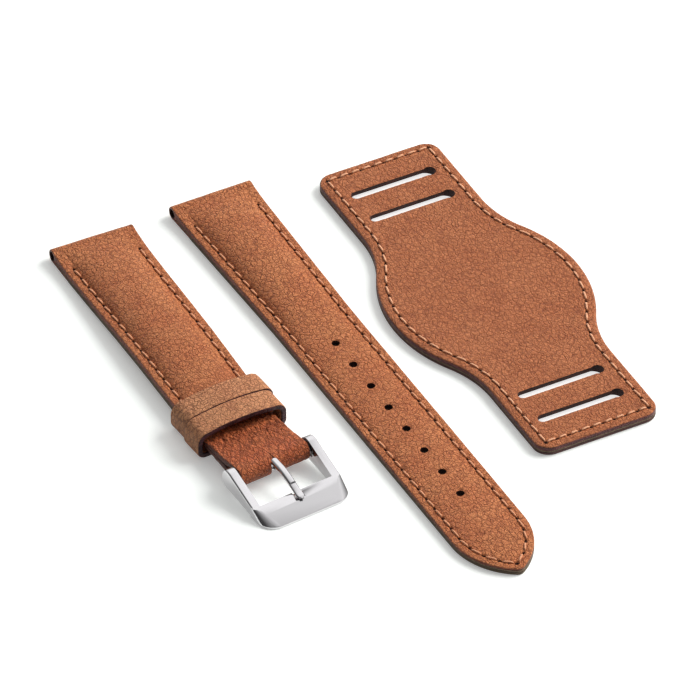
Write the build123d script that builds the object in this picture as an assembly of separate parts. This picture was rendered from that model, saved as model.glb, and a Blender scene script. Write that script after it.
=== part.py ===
from build123d import *
import math
import os

# Bund watch strap: a short padded strap with a pin buckle, a long padded strap with tongue holes, and
# the flat slotted pad that goes under the watch. The three loose pieces lie side by side on a surface.
# Lengths in mm, angles in degrees. +Z is up, the straps run along Y with their lug ends towards +Y, and
# the origin is the middle of the whole set, on the surface.

# Widths and lengths of the straps
LUG_WIDTH = 19.3
BUCKLE_WIDTH = 17.2
SHORT_BODY_LENGTH = 70.6
TAB_REACH = 14.5
LONG_LENGTH = 138.55
LONG_TAPER_LENGTH = 46.0

# Leather layers of the straps
LINING = 0.8
STIFFENER = 0.4
FACE = 1.3
CROWN = 1.7
MIN_CROWN = 0.05
CROWN_INSET = 2.3
PADDING_INSET = 2.9
PADDING_STEP = 0.1
SHORT_PADDING_END_GAP = 10.0
LONG_PADDING_END_GAP = 40.0

# Lug end, turned under round the spring-bar hole
LUG_BORE_RADIUS = 1.0
LUG_WALL = 0.6
FLAP_REACH = 9.0
FLAP_GAP = 0.15
INNER_START_GAP = 0.3
PADDING_START_GAP = 0.7

# Seams: each stitch is a short run of thread pulled into the leather
SEAM_INSET = 1.8
STITCH_PITCH = 3.5
STITCH_LENGTH = 2.3
PAD_END_PITCH = 2.65
PAD_END_STITCH = 1.7
THREAD_WIDTH = 0.5
THREAD_DEPTH = 0.2
THREAD_STANDS = 0.2
THREAD_PLAY = 0.02
SEAM_START = 8.4

# Tongue holes and pointed tip of the long strap
HOLE_COUNT = 8
HOLE_PITCH = 7.8
HOLE_RADIUS = 0.9
FIRST_HOLE = 57.5
TIP_LENGTH = 14.5
TIP_ROUND = 1.6

# Keepers
KEEPER_INNER_WIDTH = 19.4
KEEPER_INNER_HEIGHT = 4.2
KEEPER_CROWN = 0.7
KEEPER_THICKNESS = 1.2
KEEPER_INNER_CORNER = 0.7
KEEPER_LENGTH = 5.95
KEEPER_GAP = 0.3
KEEPER_CLEARANCE = 0.15
KEEPER_OVERHANG = 2.7
KEEPER_TURN = 5.2

# Folded tab that holds the buckle
TAB_WIDTH = 16.9
TAB_LEATHER = 1.3
TAB_ROOT_WIDTH = 9.0
TAB_ROOT_LENGTH = 8.0
TAB_ROOT_THICKNESS = 1.2
TAB_LEVEL = 1.35
TAB_NECK_LENGTH = 3.4
TAB_SWELL_LENGTH = 5.0
TAB_SWELL = 0.25
TAB_PLAY = 0.06
TONGUE_SLOT_REACH = 3.6
TONGUE_SLOT_PLAY = 0.35
TAIL_TURN = 6.4
TAIL_PIVOT_REACH = 9.5

# Buckle frame
AXIS_HEIGHT = 3.4
ARM_GAP = 0.25
ARM_THICKNESS = 1.95
ARM_END_RADIUS = 2.4
BUCKLE_REACH = 15.45
BAR_TOP_REACH = 9.6
BAR_TOP_HEIGHT = 2.55
BAR_LAND = 0.8
BAR_LIP = 0.5
BAR_PLATE = 1.3
ARCH_REACH = 10.2
BUCKLE_CORNER = 3.8
BUCKLE_TOP_CORNER = 1.3
PLATE_ROOT = 0.6
ARM_EDGE_ROUND = 0.45
NOTCH_DEPTH = 0.55
NOTCH_PLAY = 0.25

# Tongue
TONGUE_WIDTH = 1.7
TONGUE_THICKNESS = 1.3
TONGUE_EYE_WALL = 0.85
TONGUE_PLAY = 0.05
TONGUE_RISE = 1.95
TONGUE_RISE_REACH = 1.3
TONGUE_FALL = 1.8
TONGUE_FALL_REACH = 4.4
TONGUE_BEND = 0.3
TONGUE_TIP = 0.6
TONGUE_REACH = 12.3
TONGUE_REST_GAP = 0.04

# Spring bar
SPRING_BAR_RADIUS = 0.9
TUBE_BORE = 0.62
TUBE_LIP = 0.4
TUBE_END_GAP = 0.15
PIN_RADIUS = 0.4
PIN_PLAY = 0.05
PIN_ENGAGEMENT = 1.0
PIN_HOLE_SPARE = 0.2
SHOULDER_PLAY = 0.05
SHOULDER_LENGTH = 1.2
SPRING_WIRE_RADIUS = 0.15
SPRING_PLAY = 0.06
SPRING_TURNS = 12
SPRING_WIRE_ARCS = 6
SPRING_END_GAP = 0.1

# Pad
PAD_LENGTH = 102.1
PAD_END_WIDTH = 28.7
PAD_MIDDLE_WIDTH = 44.0
PAD_BULGE_RADIUS = 33.0
PAD_WAIST_RADIUS = 25.0
PAD_CORNER = 3.6
PAD_LINING = 0.8
PAD_CORE = 0.4
PAD_FACE = 1.2
PAD_SEAM_INSET = 2.1
SLOT_LENGTH = 20.3
SLOT_WIDTH = 2.3
SLOT_RELIEF = 1.4
SLOT_PUNCH_RADIUS = 1.4
OUTER_SLOT_INSET = 9.25
INNER_SLOT_INSET = 17.95

# Places and turns of the three loose pieces
SHORT_TO_LONG = 29.05
LONG_TO_PAD = 36.725
SHORT_LUG_SET_BACK = 1.2
PAD_AHEAD = 12.37
SHORT_TURN = -1.2
LONG_TURN = 0.5

# One overrun serves every cut that has to pass its faces
OVERRUN = 1.0

# Shares of each strap's length, with the share of the edge thickness, the crown and the rise found there
SHORT_STATION_SHARES = (
    (0.06, 1.1, 0.35, 0.0),
    (0.13, 1.0, 0.85, 0.02),
    (0.28, 1.0, 1.0, 0.3),
    (0.45, 1.0, 1.0, 0.75),
    (0.6, 1.0, 0.9, 1.0),
    (0.86, 1.0, 0.6, 1.0),
    (1.0, 1.0, 0.45, 1.0),
)
LONG_STATION_SHARES = (
    (0.03, 1.1, 0.35, 0.0),
    (0.07, 1.0, 0.85, 0.0),
    (0.15, 1.0, 1.0, 0.0),
    (0.29, 1.0, 0.85, 0.0),
    (0.4, 0.92, 0.42, 0.0),
    (0.82, 0.82, 0.28, 0.0),
    (1.0, 0.72, 0.1, 0.0),
)

# Sizes that follow from the ones above
SHORT_AXIS_REACH = SHORT_BODY_LENGTH + TAB_REACH
UNDER = LINING + STIFFENER
EDGE = UNDER + FACE
TUBE_RADIUS = LUG_BORE_RADIUS + LUG_WALL
TAIL_RISE = KEEPER_THICKNESS + KEEPER_CLEARANCE
ARM_INNER = BUCKLE_WIDTH / 2 + ARM_GAP
ARM_OUTER = ARM_INNER + ARM_THICKNESS
FOLD_BORE = SPRING_BAR_RADIUS + TAB_PLAY
FOLD_RADIUS = FOLD_BORE + TAB_LEATHER
TONGUE_EYE_BORE = SPRING_BAR_RADIUS + TONGUE_PLAY
TONGUE_EYE_RADIUS = TONGUE_EYE_BORE + TONGUE_EYE_WALL
KEEPER_OUTER_HALF = KEEPER_INNER_WIDTH / 2 + KEEPER_THICKNESS
FIXED_KEEPER_START = SHORT_BODY_LENGTH + KEEPER_OVERHANG - KEEPER_LENGTH
FLOATING_KEEPER_START = FIXED_KEEPER_START - KEEPER_GAP - KEEPER_LENGTH
TAIL_PIVOT = SHORT_AXIS_REACH - TAIL_PIVOT_REACH
PAD_HEIGHT = PAD_LINING + PAD_CORE + PAD_FACE
OUTER_SLOT_REACH = PAD_LENGTH / 2 - OUTER_SLOT_INSET
INNER_SLOT_REACH = PAD_LENGTH / 2 - INNER_SLOT_INSET

# How far the fixed keeper, the set's leftmost piece, stands out from the middle of the short strap's lug end
KEEPER_HALF_LENGTH = KEEPER_LENGTH / 2
KEEPER_SWING = math.radians(SHORT_TURN + KEEPER_TURN)
KEEPER_SPREAD = KEEPER_OUTER_HALF * math.cos(KEEPER_SWING) + KEEPER_HALF_LENGTH * math.sin(KEEPER_SWING)
KEEPER_DRIFT = (FIXED_KEEPER_START + KEEPER_HALF_LENGTH) * math.sin(math.radians(-SHORT_TURN))
SET_LEFT = KEEPER_SPREAD + KEEPER_DRIFT

# Places, so that the set's box is centred on the origin
SET_WIDTH = SET_LEFT + SHORT_TO_LONG + LONG_TO_PAD + PAD_MIDDLE_WIDTH / 2
SHORT_X = SET_LEFT - SET_WIDTH / 2
LONG_X = SHORT_X + SHORT_TO_LONG
PAD_X = LONG_X + LONG_TO_PAD
LONG_Y = LONG_LENGTH / 2
SHORT_Y = LONG_Y - SHORT_LUG_SET_BACK
SHORT_PLACE = Pos(SHORT_X, SHORT_Y, 0) * Rot(0, 0, SHORT_TURN)
LONG_PLACE = Pos(LONG_X, LONG_Y, 0) * Rot(0, 0, LONG_TURN)
PAD_PLACE = Pos(PAD_X, PAD_AHEAD, 0)
TAIL_PLACE = SHORT_PLACE * Pos(0, -TAIL_PIVOT, 0) * Rot(0, 0, TAIL_TURN) * Pos(0, -TAIL_PIVOT_REACH, 0)

parts = {}


def short_half_width(reach):
    """Half width of the short strap at a distance from the lug end: one straight taper."""
    return (LUG_WIDTH - (LUG_WIDTH - BUCKLE_WIDTH) * reach / SHORT_AXIS_REACH) / 2


def long_half_width(reach):
    """Half width of the long strap: a straight taper, then parallel sides."""
    tapered = min(reach / LONG_TAPER_LENGTH, 1)
    return (LUG_WIDTH - (LUG_WIDTH - BUCKLE_WIDTH) * tapered) / 2


def stations(shares, length):
    """Rows of reach, edge thickness, crown and rise, from the lug tube's axis to the strap's end."""
    rows = [(TUBE_RADIUS, 2 * TUBE_RADIUS, MIN_CROWN, 0)]
    for place, edge, crown, rise in shares:
        rows.append((place * length, edge * EDGE, crown * CROWN, rise * TAIL_RISE))
    return rows


def row_at(rows, reach):
    """The station row at any reach, in line between its neighbours."""
    if reach <= rows[0][0]:
        return (reach,) + rows[0][1:]
    for before, after in zip(rows, rows[1:]):
        if reach <= after[0]:
            share = (reach - before[0]) / (after[0] - before[0])
            mixed = [a + (b - a) * share for a, b in zip(before[1:], after[1:])]
            return (reach,) + tuple(mixed)
    return (reach,) + rows[-1][1:]


def rows_between(rows, start, end):
    """The station rows from start to end, with both ends worked out."""
    inner = [row for row in rows if start < row[0] < end]
    return [row_at(rows, start)] + inner + [row_at(rows, end)]


def closed_wire(points, arc_from=None, arc_middle=None):
    """A closed wire through points, with one run of it bent through arc_middle."""
    edges = []
    for index, point in enumerate(points):
        following = points[(index + 1) % len(points)]
        if index == arc_from:
            edges.append(Edge.make_three_point_arc(point, arc_middle, following))
        else:
            edges.append(Edge.make_line(point, following))
    return Wire(edges)


def slab(rows, half_width, low, high):
    """A flat layer that follows the strap's plan and rise, between two heights above its underside."""
    wires = []
    for reach, edge, crown, rise in rows:
        half = half_width(reach)
        corners = [(-half, -reach, rise + low), (-half, -reach, rise + high),
                   (half, -reach, rise + high), (half, -reach, rise + low)]
        wires.append(closed_wire(corners))
    return Solid.make_loft(wires, ruled=True)


def crowned_top(rows, half_width):
    """The body of the top leather and what it covers: flat borders and a crown between them."""
    wires = []
    for reach, edge, crown, rise in rows:
        half = half_width(reach)
        foot = half - CROWN_INSET
        top = rise + edge
        points = [(-half, -reach, rise + UNDER), (-half, -reach, top), (-foot, -reach, top),
                  (foot, -reach, top), (half, -reach, top), (half, -reach, rise + UNDER)]
        wires.append(closed_wire(points, 2, (0, -reach, top + crown)))
    return Solid.make_loft(wires, ruled=True)


def padding_body(rows, half_width, drop):
    """The filler under the crown, with its flat underside lowered by drop."""
    wires = []
    for reach, edge, crown, rise in rows:
        foot = half_width(reach) - PADDING_INSET
        low = rise + UNDER
        middle = (0, -reach, rise + edge + crown - FACE)
        points = [(-foot, -reach, low - drop), (-foot, -reach, low + PADDING_STEP),
                  (foot, -reach, low + PADDING_STEP), (foot, -reach, low - drop)]
        wires.append(closed_wire(points, 1, middle))
    return Solid.make_loft(wires, ruled=True)


def stitches_along(path, height, pitch=STITCH_PITCH, length=STITCH_LENGTH):
    """Evenly spaced stitches on a path in plan, sunk a little into the leather, and their pressed beds."""
    count = max(round(path.length / pitch), 1)
    thread = extrude(SlotOverall(length, THREAD_WIDTH), THREAD_DEPTH + THREAD_STANDS)
    bed = extrude(SlotOverall(length + 2 * THREAD_PLAY, THREAD_WIDTH + 2 * THREAD_PLAY),
                  THREAD_DEPTH + THREAD_STANDS)
    stitches = []
    beds = []
    for index in range(count):
        share = (index + 1 / 2) / count
        point = path @ share
        way = path % share
        turn = math.degrees(math.atan2(way.Y, way.X))
        place = Pos(point.X, point.Y, height(point.Y) - THREAD_DEPTH) * Rot(0, 0, turn)
        stitches.append(place * thread)
        beds.append(place * bed)
    return stitches, beds


def strap_layers(rows, half_width, length, padding_end):
    """Face, padding, stiffener and lining of one strap, before holes and seams."""
    tube = Pos(0, -TUBE_RADIUS, TUBE_RADIUS) * Rot(0, 90, 0) * Cylinder(TUBE_RADIUS, LUG_WIDTH)
    bore_length = LUG_WIDTH + 2 * OVERRUN
    bore = Pos(0, -TUBE_RADIUS, TUBE_RADIUS) * Rot(0, 90, 0) * Cylinder(LUG_BORE_RADIUS, bore_length)
    flap = slab(rows_between(rows, TUBE_RADIUS, FLAP_REACH), half_width, 0, LINING)
    inner_start = 2 * TUBE_RADIUS + INNER_START_GAP
    padding_start = inner_start + PADDING_START_GAP
    padding_rows = rows_between(rows, padding_start, padding_end)
    padding = padding_body(padding_rows, half_width, 0)
    hollow = padding_body(padding_rows, half_width, OVERRUN)
    root = slab([row_at(rows, TUBE_RADIUS), row_at(rows, inner_start)], half_width, LINING, UNDER)
    top = crowned_top(rows_between(rows, TUBE_RADIUS, length), half_width)
    face = (top - hollow) + tube + flap + root - bore
    stiffener = slab(rows_between(rows, inner_start, length), half_width, LINING, UNDER)
    lining = slab(rows_between(rows, FLAP_REACH + FLAP_GAP, length), half_width, 0, LINING)
    return face, padding, stiffener, lining


def keeper_loop(start, lift):
    """A leather loop: rounded corners and a crowned top, one thickness all round, from start onwards."""
    half = KEEPER_INNER_WIDTH / 2
    corner = KEEPER_INNER_CORNER
    top = KEEPER_INNER_HEIGHT
    bottom = Line((-half + corner, 0), (half - corner, 0))
    right_low = RadiusArc((half - corner, 0), (half, corner), -corner)
    right = Line((half, corner), (half, top - corner))
    right_high = RadiusArc((half, top - corner), (half - corner, top), -corner)
    over = ThreePointArc((half - corner, top), (0, top + KEEPER_CROWN), (-half + corner, top))
    left_high = RadiusArc((-half + corner, top), (-half, top - corner), -corner)
    left = Line((-half, top - corner), (-half, corner))
    left_low = RadiusArc((-half, corner), (-half + corner, 0), -corner)
    inside = make_face([bottom, right_low, right, right_high, over, left_high, left, left_low])
    ring = offset(inside, KEEPER_THICKNESS) - inside
    standing = Plane.XZ * ring
    loop = extrude(standing, amount=KEEPER_LENGTH / 2, both=True)
    middle = start + KEEPER_LENGTH / 2
    return Pos(0, -middle, KEEPER_THICKNESS + lift) * Rot(0, 0, KEEPER_TURN) * loop


# The plane of the buckle's side profiles: first axis forward from the spring bar, second axis up
SIDE = Plane(origin=(0, 0, 0), x_dir=(0, -1, 0), z_dir=(-1, 0, 0))


def side_solid(profile, width):
    """A side profile given its width, evenly about the middle."""
    return extrude(SIDE * profile, amount=width / 2, both=True)


def across(radius, length):
    """A round bar along X, at the spring bar's axis."""
    return Pos(0, 0, AXIS_HEIGHT) * Rot(0, 90, 0) * Cylinder(radius, length)


def buckle_tab():
    """Leather folded round the spring bar: a thin root for the pocket, a neck, and the eye of the fold."""
    body_end = TAB_REACH
    low = TAIL_RISE + UNDER
    high = low + TAB_ROOT_THICKNESS
    neck = body_end - TAB_NECK_LENGTH
    swell = TAB_SWELL_LENGTH
    half = TAB_LEATHER
    bulk = make_face(Polyline(
        (-body_end, low), (-body_end + TAB_LEVEL, low), (-neck, AXIS_HEIGHT - half),
        (-swell, AXIS_HEIGHT - half - TAB_SWELL),
        (0, AXIS_HEIGHT - FOLD_RADIUS), (0, AXIS_HEIGHT + FOLD_RADIUS),
        (-swell, AXIS_HEIGHT + half + TAB_SWELL), (-neck, AXIS_HEIGHT + half), (-body_end + TAB_LEVEL, high),
        (-body_end, high), close=True))
    eye = Pos(0, AXIS_HEIGHT) * Circle(FOLD_RADIUS)
    wedge = make_face(Polyline((0, AXIS_HEIGHT - SPRING_BAR_RADIUS), (0, AXIS_HEIGHT + SPRING_BAR_RADIUS),
                               (-swell, AXIS_HEIGHT), close=True))
    hollow = Pos(0, AXIS_HEIGHT) * Circle(FOLD_BORE) + wedge
    body = side_solid(bulk + eye - hollow, TAB_WIDTH)
    root = Pos(0, body_end + TAB_ROOT_LENGTH / 2, (low + high) / 2) * Box(
        TAB_ROOT_WIDTH, TAB_ROOT_LENGTH, TAB_ROOT_THICKNESS)
    slot_width = TONGUE_WIDTH + 2 * TONGUE_SLOT_PLAY
    slot_length = TONGUE_SLOT_REACH + FOLD_RADIUS + OVERRUN
    slot = Pos(0, TONGUE_SLOT_REACH - slot_length / 2, AXIS_HEIGHT) * Box(
        slot_width, slot_length, 2 * (FOLD_RADIUS + OVERRUN))
    slot_end = Pos(0, TONGUE_SLOT_REACH, AXIS_HEIGHT) * Cylinder(slot_width / 2, 2 * (FOLD_RADIUS + OVERRUN))
    return body + root - slot - slot_end


def tangent_point(reach, height, way):
    """Where a straight line from a point touches the arms' round rear end, above (1) or below (-1)."""
    away = math.atan2(height - AXIS_HEIGHT, reach)
    turn = way * math.acos(ARM_END_RADIUS / math.hypot(reach, height - AXIS_HEIGHT))
    return ARM_END_RADIUS * math.cos(away + turn), AXIS_HEIGHT + ARM_END_RADIUS * math.sin(away + turn)


def plan_wire(front, corner, height):
    """The frame's plan at one height: straight sides and a front with round corners."""
    half = ARM_OUTER
    inward = corner * (1 - math.sqrt(1 / 2))
    left_middle = (-half + inward, -front + inward, height)
    right_middle = (half - inward, -front + inward, height)
    left_side = (-half, -front + corner, height)
    left_front = (-half + corner, -front, height)
    right_front = (half - corner, -front, height)
    right_side = (half, -front + corner, height)
    rear = BAR_TOP_REACH - PLATE_ROOT
    left_rear = (-half, -rear, height)
    right_rear = (half, -rear, height)
    return Wire([
        Edge.make_line(left_rear, left_side), Edge.make_three_point_arc(left_side, left_middle, left_front),
        Edge.make_line(left_front, right_front),
        Edge.make_three_point_arc(right_front, right_middle, right_side),
        Edge.make_line(right_side, right_rear), Edge.make_line(right_rear, left_rear)])


def buckle_frame():
    """Arms with round rear ends that slope down to a wide plate, whose corners turn into the arms."""
    land_end = BAR_TOP_REACH + BAR_LAND
    top_tangent = tangent_point(BAR_TOP_REACH, BAR_TOP_HEIGHT, 1)
    low_tangent = tangent_point(ARCH_REACH, 0, -1)
    eye = Pos(0, AXIS_HEIGHT) * Circle(ARM_END_RADIUS)
    arm = make_face(Polyline(
        low_tangent, (ARCH_REACH, 0), (BAR_TOP_REACH, BAR_TOP_HEIGHT), top_tangent, close=True))
    arms = side_solid(arm + eye, 2 * ARM_OUTER)
    side_edges = arms.edges().group_by(Axis.X)
    arm_edges = [edge for edge in side_edges[0] + side_edges[-1] if edge.center().Z > BAR_TOP_HEIGHT]
    arms = fillet(arm_edges, ARM_EDGE_ROUND)
    plate = Solid.make_loft([
        plan_wire(BUCKLE_REACH, BUCKLE_CORNER, 0), plan_wire(BUCKLE_REACH, BUCKLE_CORNER, BAR_LIP),
        plan_wire(land_end, BUCKLE_TOP_CORNER, BAR_TOP_HEIGHT)], ruled=True)
    rear = ARM_END_RADIUS + OVERRUN
    height = AXIS_HEIGHT + ARM_END_RADIUS + OVERRUN
    window_length = rear + BAR_TOP_REACH
    window = Pos(0, rear - window_length / 2, 0) * Box(2 * ARM_INNER, window_length, 2 * height)
    slope = (BAR_TOP_HEIGHT - BAR_LIP) / (BUCKLE_REACH - land_end)
    plate_low = BAR_TOP_HEIGHT - BAR_PLATE * math.hypot(1, slope)
    foot_reach = land_end + plate_low / slope
    underside = make_face(Polyline((0, -OVERRUN), (0, plate_low), (land_end, plate_low),
                                   (foot_reach, 0), (foot_reach, -OVERRUN), close=True))
    hollow = side_solid(underside, 2 * ARM_INNER)
    pin_holes = across(PIN_RADIUS + PIN_PLAY, 2 * (ARM_INNER + PIN_ENGAGEMENT + PIN_HOLE_SPARE))
    notch_middle = (BAR_TOP_REACH + BUCKLE_REACH) / 2
    notch = Pos(0, -notch_middle, BAR_TOP_HEIGHT) * Box(
        TONGUE_WIDTH + 2 * NOTCH_PLAY, BUCKLE_REACH - BAR_TOP_REACH + OVERRUN, 2 * NOTCH_DEPTH)
    return arms + plate - window - hollow - pin_holes - notch


def buckle_tongue():
    """An eye round the spring bar and a bent bar whose end rests in the notch of the frame."""
    rest = BAR_TOP_HEIGHT - NOTCH_DEPTH - AXIS_HEIGHT + TONGUE_REST_GAP
    land_end = BAR_TOP_REACH + BAR_LAND
    bend = BAR_TOP_REACH - BAR_LAND
    thick = TONGUE_THICKNESS
    heights_above_axis = [
        (0, TONGUE_EYE_RADIUS), (TONGUE_RISE_REACH, TONGUE_RISE), (TONGUE_FALL_REACH, TONGUE_FALL),
        (bend, rest + thick + TONGUE_BEND), (land_end, rest + thick), (TONGUE_REACH, rest + TONGUE_TIP),
        (TONGUE_REACH, rest), (BAR_TOP_REACH, rest),
        (bend, rest + TONGUE_BEND), (TONGUE_FALL_REACH, TONGUE_FALL - thick), (0, 0)]
    outline = [(reach, AXIS_HEIGHT + height) for reach, height in heights_above_axis]
    eye = Pos(0, AXIS_HEIGHT) * Circle(TONGUE_EYE_RADIUS)
    bore = Pos(0, AXIS_HEIGHT) * Circle(TONGUE_EYE_BORE)
    return side_solid(make_face(Polyline(*outline, close=True)) + eye - bore, TONGUE_WIDTH)


def spring_bar():
    """Tube with turned-in ends, the two tips that slide in it, and the spring between them."""
    half = ARM_INNER - TUBE_END_GAP
    shoulder_face = half - TUBE_LIP
    pin_end = ARM_INNER + PIN_ENGAGEMENT
    bar_tube = across(SPRING_BAR_RADIUS, 2 * half) - across(TUBE_BORE, 2 * shoulder_face)
    bar_tube = bar_tube - across(PIN_RADIUS + PIN_PLAY, 2 * (half + OVERRUN))
    shoulder_radius = TUBE_BORE - SHOULDER_PLAY
    tips = []
    for side in (-1, 1):
        shoulder_middle = side * (shoulder_face - SHOULDER_LENGTH / 2)
        pin_length = pin_end - shoulder_face
        pin_middle = side * (shoulder_face + pin_length / 2)
        shoulder = Pos(shoulder_middle, 0, 0) * across(shoulder_radius, SHOULDER_LENGTH)
        pin = Pos(pin_middle, 0, 0) * across(PIN_RADIUS, pin_length)
        tips.append(shoulder + pin)
    spring_length = 2 * (shoulder_face - SHOULDER_LENGTH - SPRING_END_GAP - SPRING_WIRE_RADIUS)
    coil_radius = TUBE_BORE - SPRING_PLAY - SPRING_WIRE_RADIUS
    line = Helix(spring_length / SPRING_TURNS, spring_length, coil_radius)
    arc = 360 / SPRING_WIRE_ARCS
    arcs = [CenterArc((0, 0), SPRING_WIRE_RADIUS, index * arc, arc) for index in range(SPRING_WIRE_ARCS)]
    section = Plane(origin=line @ 0, z_dir=line % 0) * make_face(arcs)
    coil = sweep(section, path=line, is_frenet=True)
    coil = Pos(-spring_length / 2, 0, AXIS_HEIGHT) * Rot(0, 90, 0) * coil
    return bar_tube, coil, tips


def pad_outline(inset, corner):
    """The pad's outline, moved in by inset: square ends, hollow waists and a bulged middle, in arcs."""
    end_half = PAD_END_WIDTH / 2 - inset
    middle = PAD_MIDDLE_WIDTH / 2 - inset
    end = PAD_LENGTH / 2 - inset
    bulge = PAD_BULGE_RADIUS - inset
    waist = PAD_WAIST_RADIUS + inset
    between = end_half + waist + bulge - middle
    waist_y = math.sqrt((bulge + waist) ** 2 - between ** 2)
    swing = math.atan2(waist_y, between)
    tangent = (middle - bulge + bulge * math.cos(swing), bulge * math.sin(swing))
    waist_middle = (end_half + waist - waist * math.cos(swing / 2), waist_y - waist * math.sin(swing / 2))
    upper = [
        Line((-end_half + corner, end), (end_half - corner, end)),
        RadiusArc((end_half - corner, end), (end_half, end - corner), corner) if corner else None,
        Line((end_half, end - corner), (end_half, waist_y)),
        ThreePointArc((end_half, waist_y), waist_middle, tangent),
    ]
    right = [edge for edge in upper if edge is not None]
    lower = [mirror(edge, Plane.XZ) for edge in right]
    bulges = [ThreePointArc(tangent, (middle, 0), (tangent[0], -tangent[1]))]
    right_side = right[1:] + bulges + lower[1:]
    left_side = [mirror(edge, Plane.YZ) for edge in right_side]
    return [right[0], lower[0]] + right_side + left_side


def tip_outline(inset):
    """Half of the long strap's plan at its tip, moved in by inset: an arc from the side to the point."""
    half = BUCKLE_WIDTH / 2
    radius = (TIP_LENGTH ** 2 + half ** 2) / (2 * half)
    centre_x = half - radius
    start = LONG_LENGTH - TIP_LENGTH
    moved = radius - inset
    end_swing = math.acos(-centre_x / moved)
    middle = (centre_x + moved * math.cos(end_swing / 2), -start - moved * math.sin(end_swing / 2))
    point = (0, -start - moved * math.sin(end_swing))
    return (half - inset, -start), middle, point


# Short strap
short_rows = stations(SHORT_STATION_SHARES, SHORT_BODY_LENGTH)
short_padding_end = SHORT_BODY_LENGTH - SHORT_PADDING_END_GAP
short_face, short_padding, short_stiffener, short_lining = strap_layers(
    short_rows, short_half_width, SHORT_BODY_LENGTH, short_padding_end)
tab_in_place = TAIL_PLACE * buckle_tab()
short_thread = []
short_beds = []
for side in (-1, 1):
    seam_end = SHORT_BODY_LENGTH - SEAM_INSET
    seam = Line((side * (short_half_width(SEAM_START) - SEAM_INSET), -SEAM_START),
                (side * (short_half_width(seam_end) - SEAM_INSET), -seam_end))
    stitches, beds = stitches_along(seam, lambda y: sum(row_at(short_rows, -y)[1::2]))
    short_thread += stitches
    short_beds += beds
parts["short_face"] = SHORT_PLACE * (short_face - short_beds) - tab_in_place
parts["short_thread"] = SHORT_PLACE * Compound(short_thread)
parts["short_padding"] = SHORT_PLACE * short_padding
parts["short_stiffener"] = SHORT_PLACE * short_stiffener
parts["short_lining"] = SHORT_PLACE * short_lining
parts["buckle_tab"] = tab_in_place
parts["fixed_keeper"] = SHORT_PLACE * keeper_loop(FIXED_KEEPER_START, KEEPER_CLEARANCE)
parts["floating_keeper"] = SHORT_PLACE * keeper_loop(FLOATING_KEEPER_START, 0)

# Buckle
spring_bar_tube, spring_bar_spring, spring_bar_tips = spring_bar()
parts["buckle_frame"] = TAIL_PLACE * buckle_frame()
parts["buckle_tongue"] = TAIL_PLACE * buckle_tongue()
parts["spring_bar_tube"] = TAIL_PLACE * spring_bar_tube
parts["spring_bar_spring"] = TAIL_PLACE * spring_bar_spring
parts["spring_bar_left_tip"] = TAIL_PLACE * spring_bar_tips[0]
parts["spring_bar_right_tip"] = TAIL_PLACE * spring_bar_tips[1]

# Long strap
long_rows = stations(LONG_STATION_SHARES, LONG_LENGTH)
long_layers = strap_layers(long_rows, long_half_width, LONG_LENGTH, LONG_LENGTH - LONG_PADDING_END_GAP)
side_point, arc_middle, tip_point = tip_outline(0)
left_side_point = (-side_point[0], side_point[1])
left_middle = (-arc_middle[0], arc_middle[1])
wide = LUG_WIDTH / 2 + OVERRUN
tip_plan = make_face([
    Line((-wide, OVERRUN), (wide, OVERRUN)), Line((wide, OVERRUN), (wide, side_point[1])),
    Line((wide, side_point[1]), side_point), ThreePointArc(side_point, arc_middle, tip_point),
    ThreePointArc(tip_point, left_middle, left_side_point),
    Line(left_side_point, (-wide, side_point[1])), Line((-wide, side_point[1]), (-wide, OVERRUN))])
tip_vertex = tip_plan.vertices().sort_by(Axis.Y)[0]
tip_plan = fillet(tip_vertex, TIP_ROUND)
keep = extrude(tip_plan, EDGE + CROWN + OVERRUN)
holes = [Pos(0, -FIRST_HOLE - index * HOLE_PITCH, 0) * Cylinder(HOLE_RADIUS, 2 * (EDGE + CROWN))
         for index in range(HOLE_COUNT)]
long_thread = []
long_beds = []
seam_side, seam_middle, seam_point = tip_outline(SEAM_INSET)
for side in (-1, 1):
    taper_x = side * (long_half_width(LONG_TAPER_LENGTH) - SEAM_INSET)
    runs = [
        Line((side * (long_half_width(SEAM_START) - SEAM_INSET), -SEAM_START), (taper_x, -LONG_TAPER_LENGTH)),
        Line((taper_x, -LONG_TAPER_LENGTH), (taper_x, seam_side[1])),
        ThreePointArc((taper_x, seam_side[1]), (side * seam_middle[0], seam_middle[1]), seam_point),
    ]
    for run in runs:
        stitches, beds = stitches_along(run, lambda y: sum(row_at(long_rows, -y)[1::2]))
        long_thread += stitches
        long_beds += beds
long_names = ("long_face", "long_padding", "long_stiffener", "long_lining")
for name, layer in zip(long_names, long_layers):
    shaped = (layer & keep) - holes
    parts[name] = LONG_PLACE * (shaped - long_beds if name == "long_face" else shaped)
parts["long_thread"] = LONG_PLACE * Compound(long_thread)

# Pad
# The layers under the face have wider slots, and the face's slots end in a round punched hole at one end
pad_plan = make_face(pad_outline(0, PAD_CORNER))
slot_places = [Pos(0, way * reach) for way in (-1, 1) for reach in (OUTER_SLOT_REACH, INNER_SLOT_REACH)]
punch_x = SLOT_LENGTH / 2 - SLOT_PUNCH_RADIUS
slots = [place * SlotOverall(SLOT_LENGTH, SLOT_WIDTH) for place in slot_places]
punches = [place * Pos(punch_x, 0) * Circle(SLOT_PUNCH_RADIUS) for place in slot_places]
wide_slots = [place * SlotOverall(SLOT_LENGTH, SLOT_WIDTH + 2 * SLOT_RELIEF) for place in slot_places]
face_plan = pad_plan - slots - punches
under_plan = pad_plan - wide_slots
pad_layers = (("pad_lining", 0, PAD_LINING, under_plan), ("pad_core", PAD_LINING, PAD_CORE, under_plan),
              ("pad_face", PAD_LINING + PAD_CORE, PAD_FACE, face_plan))
pad_thread = []
pad_beds = []
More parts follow.
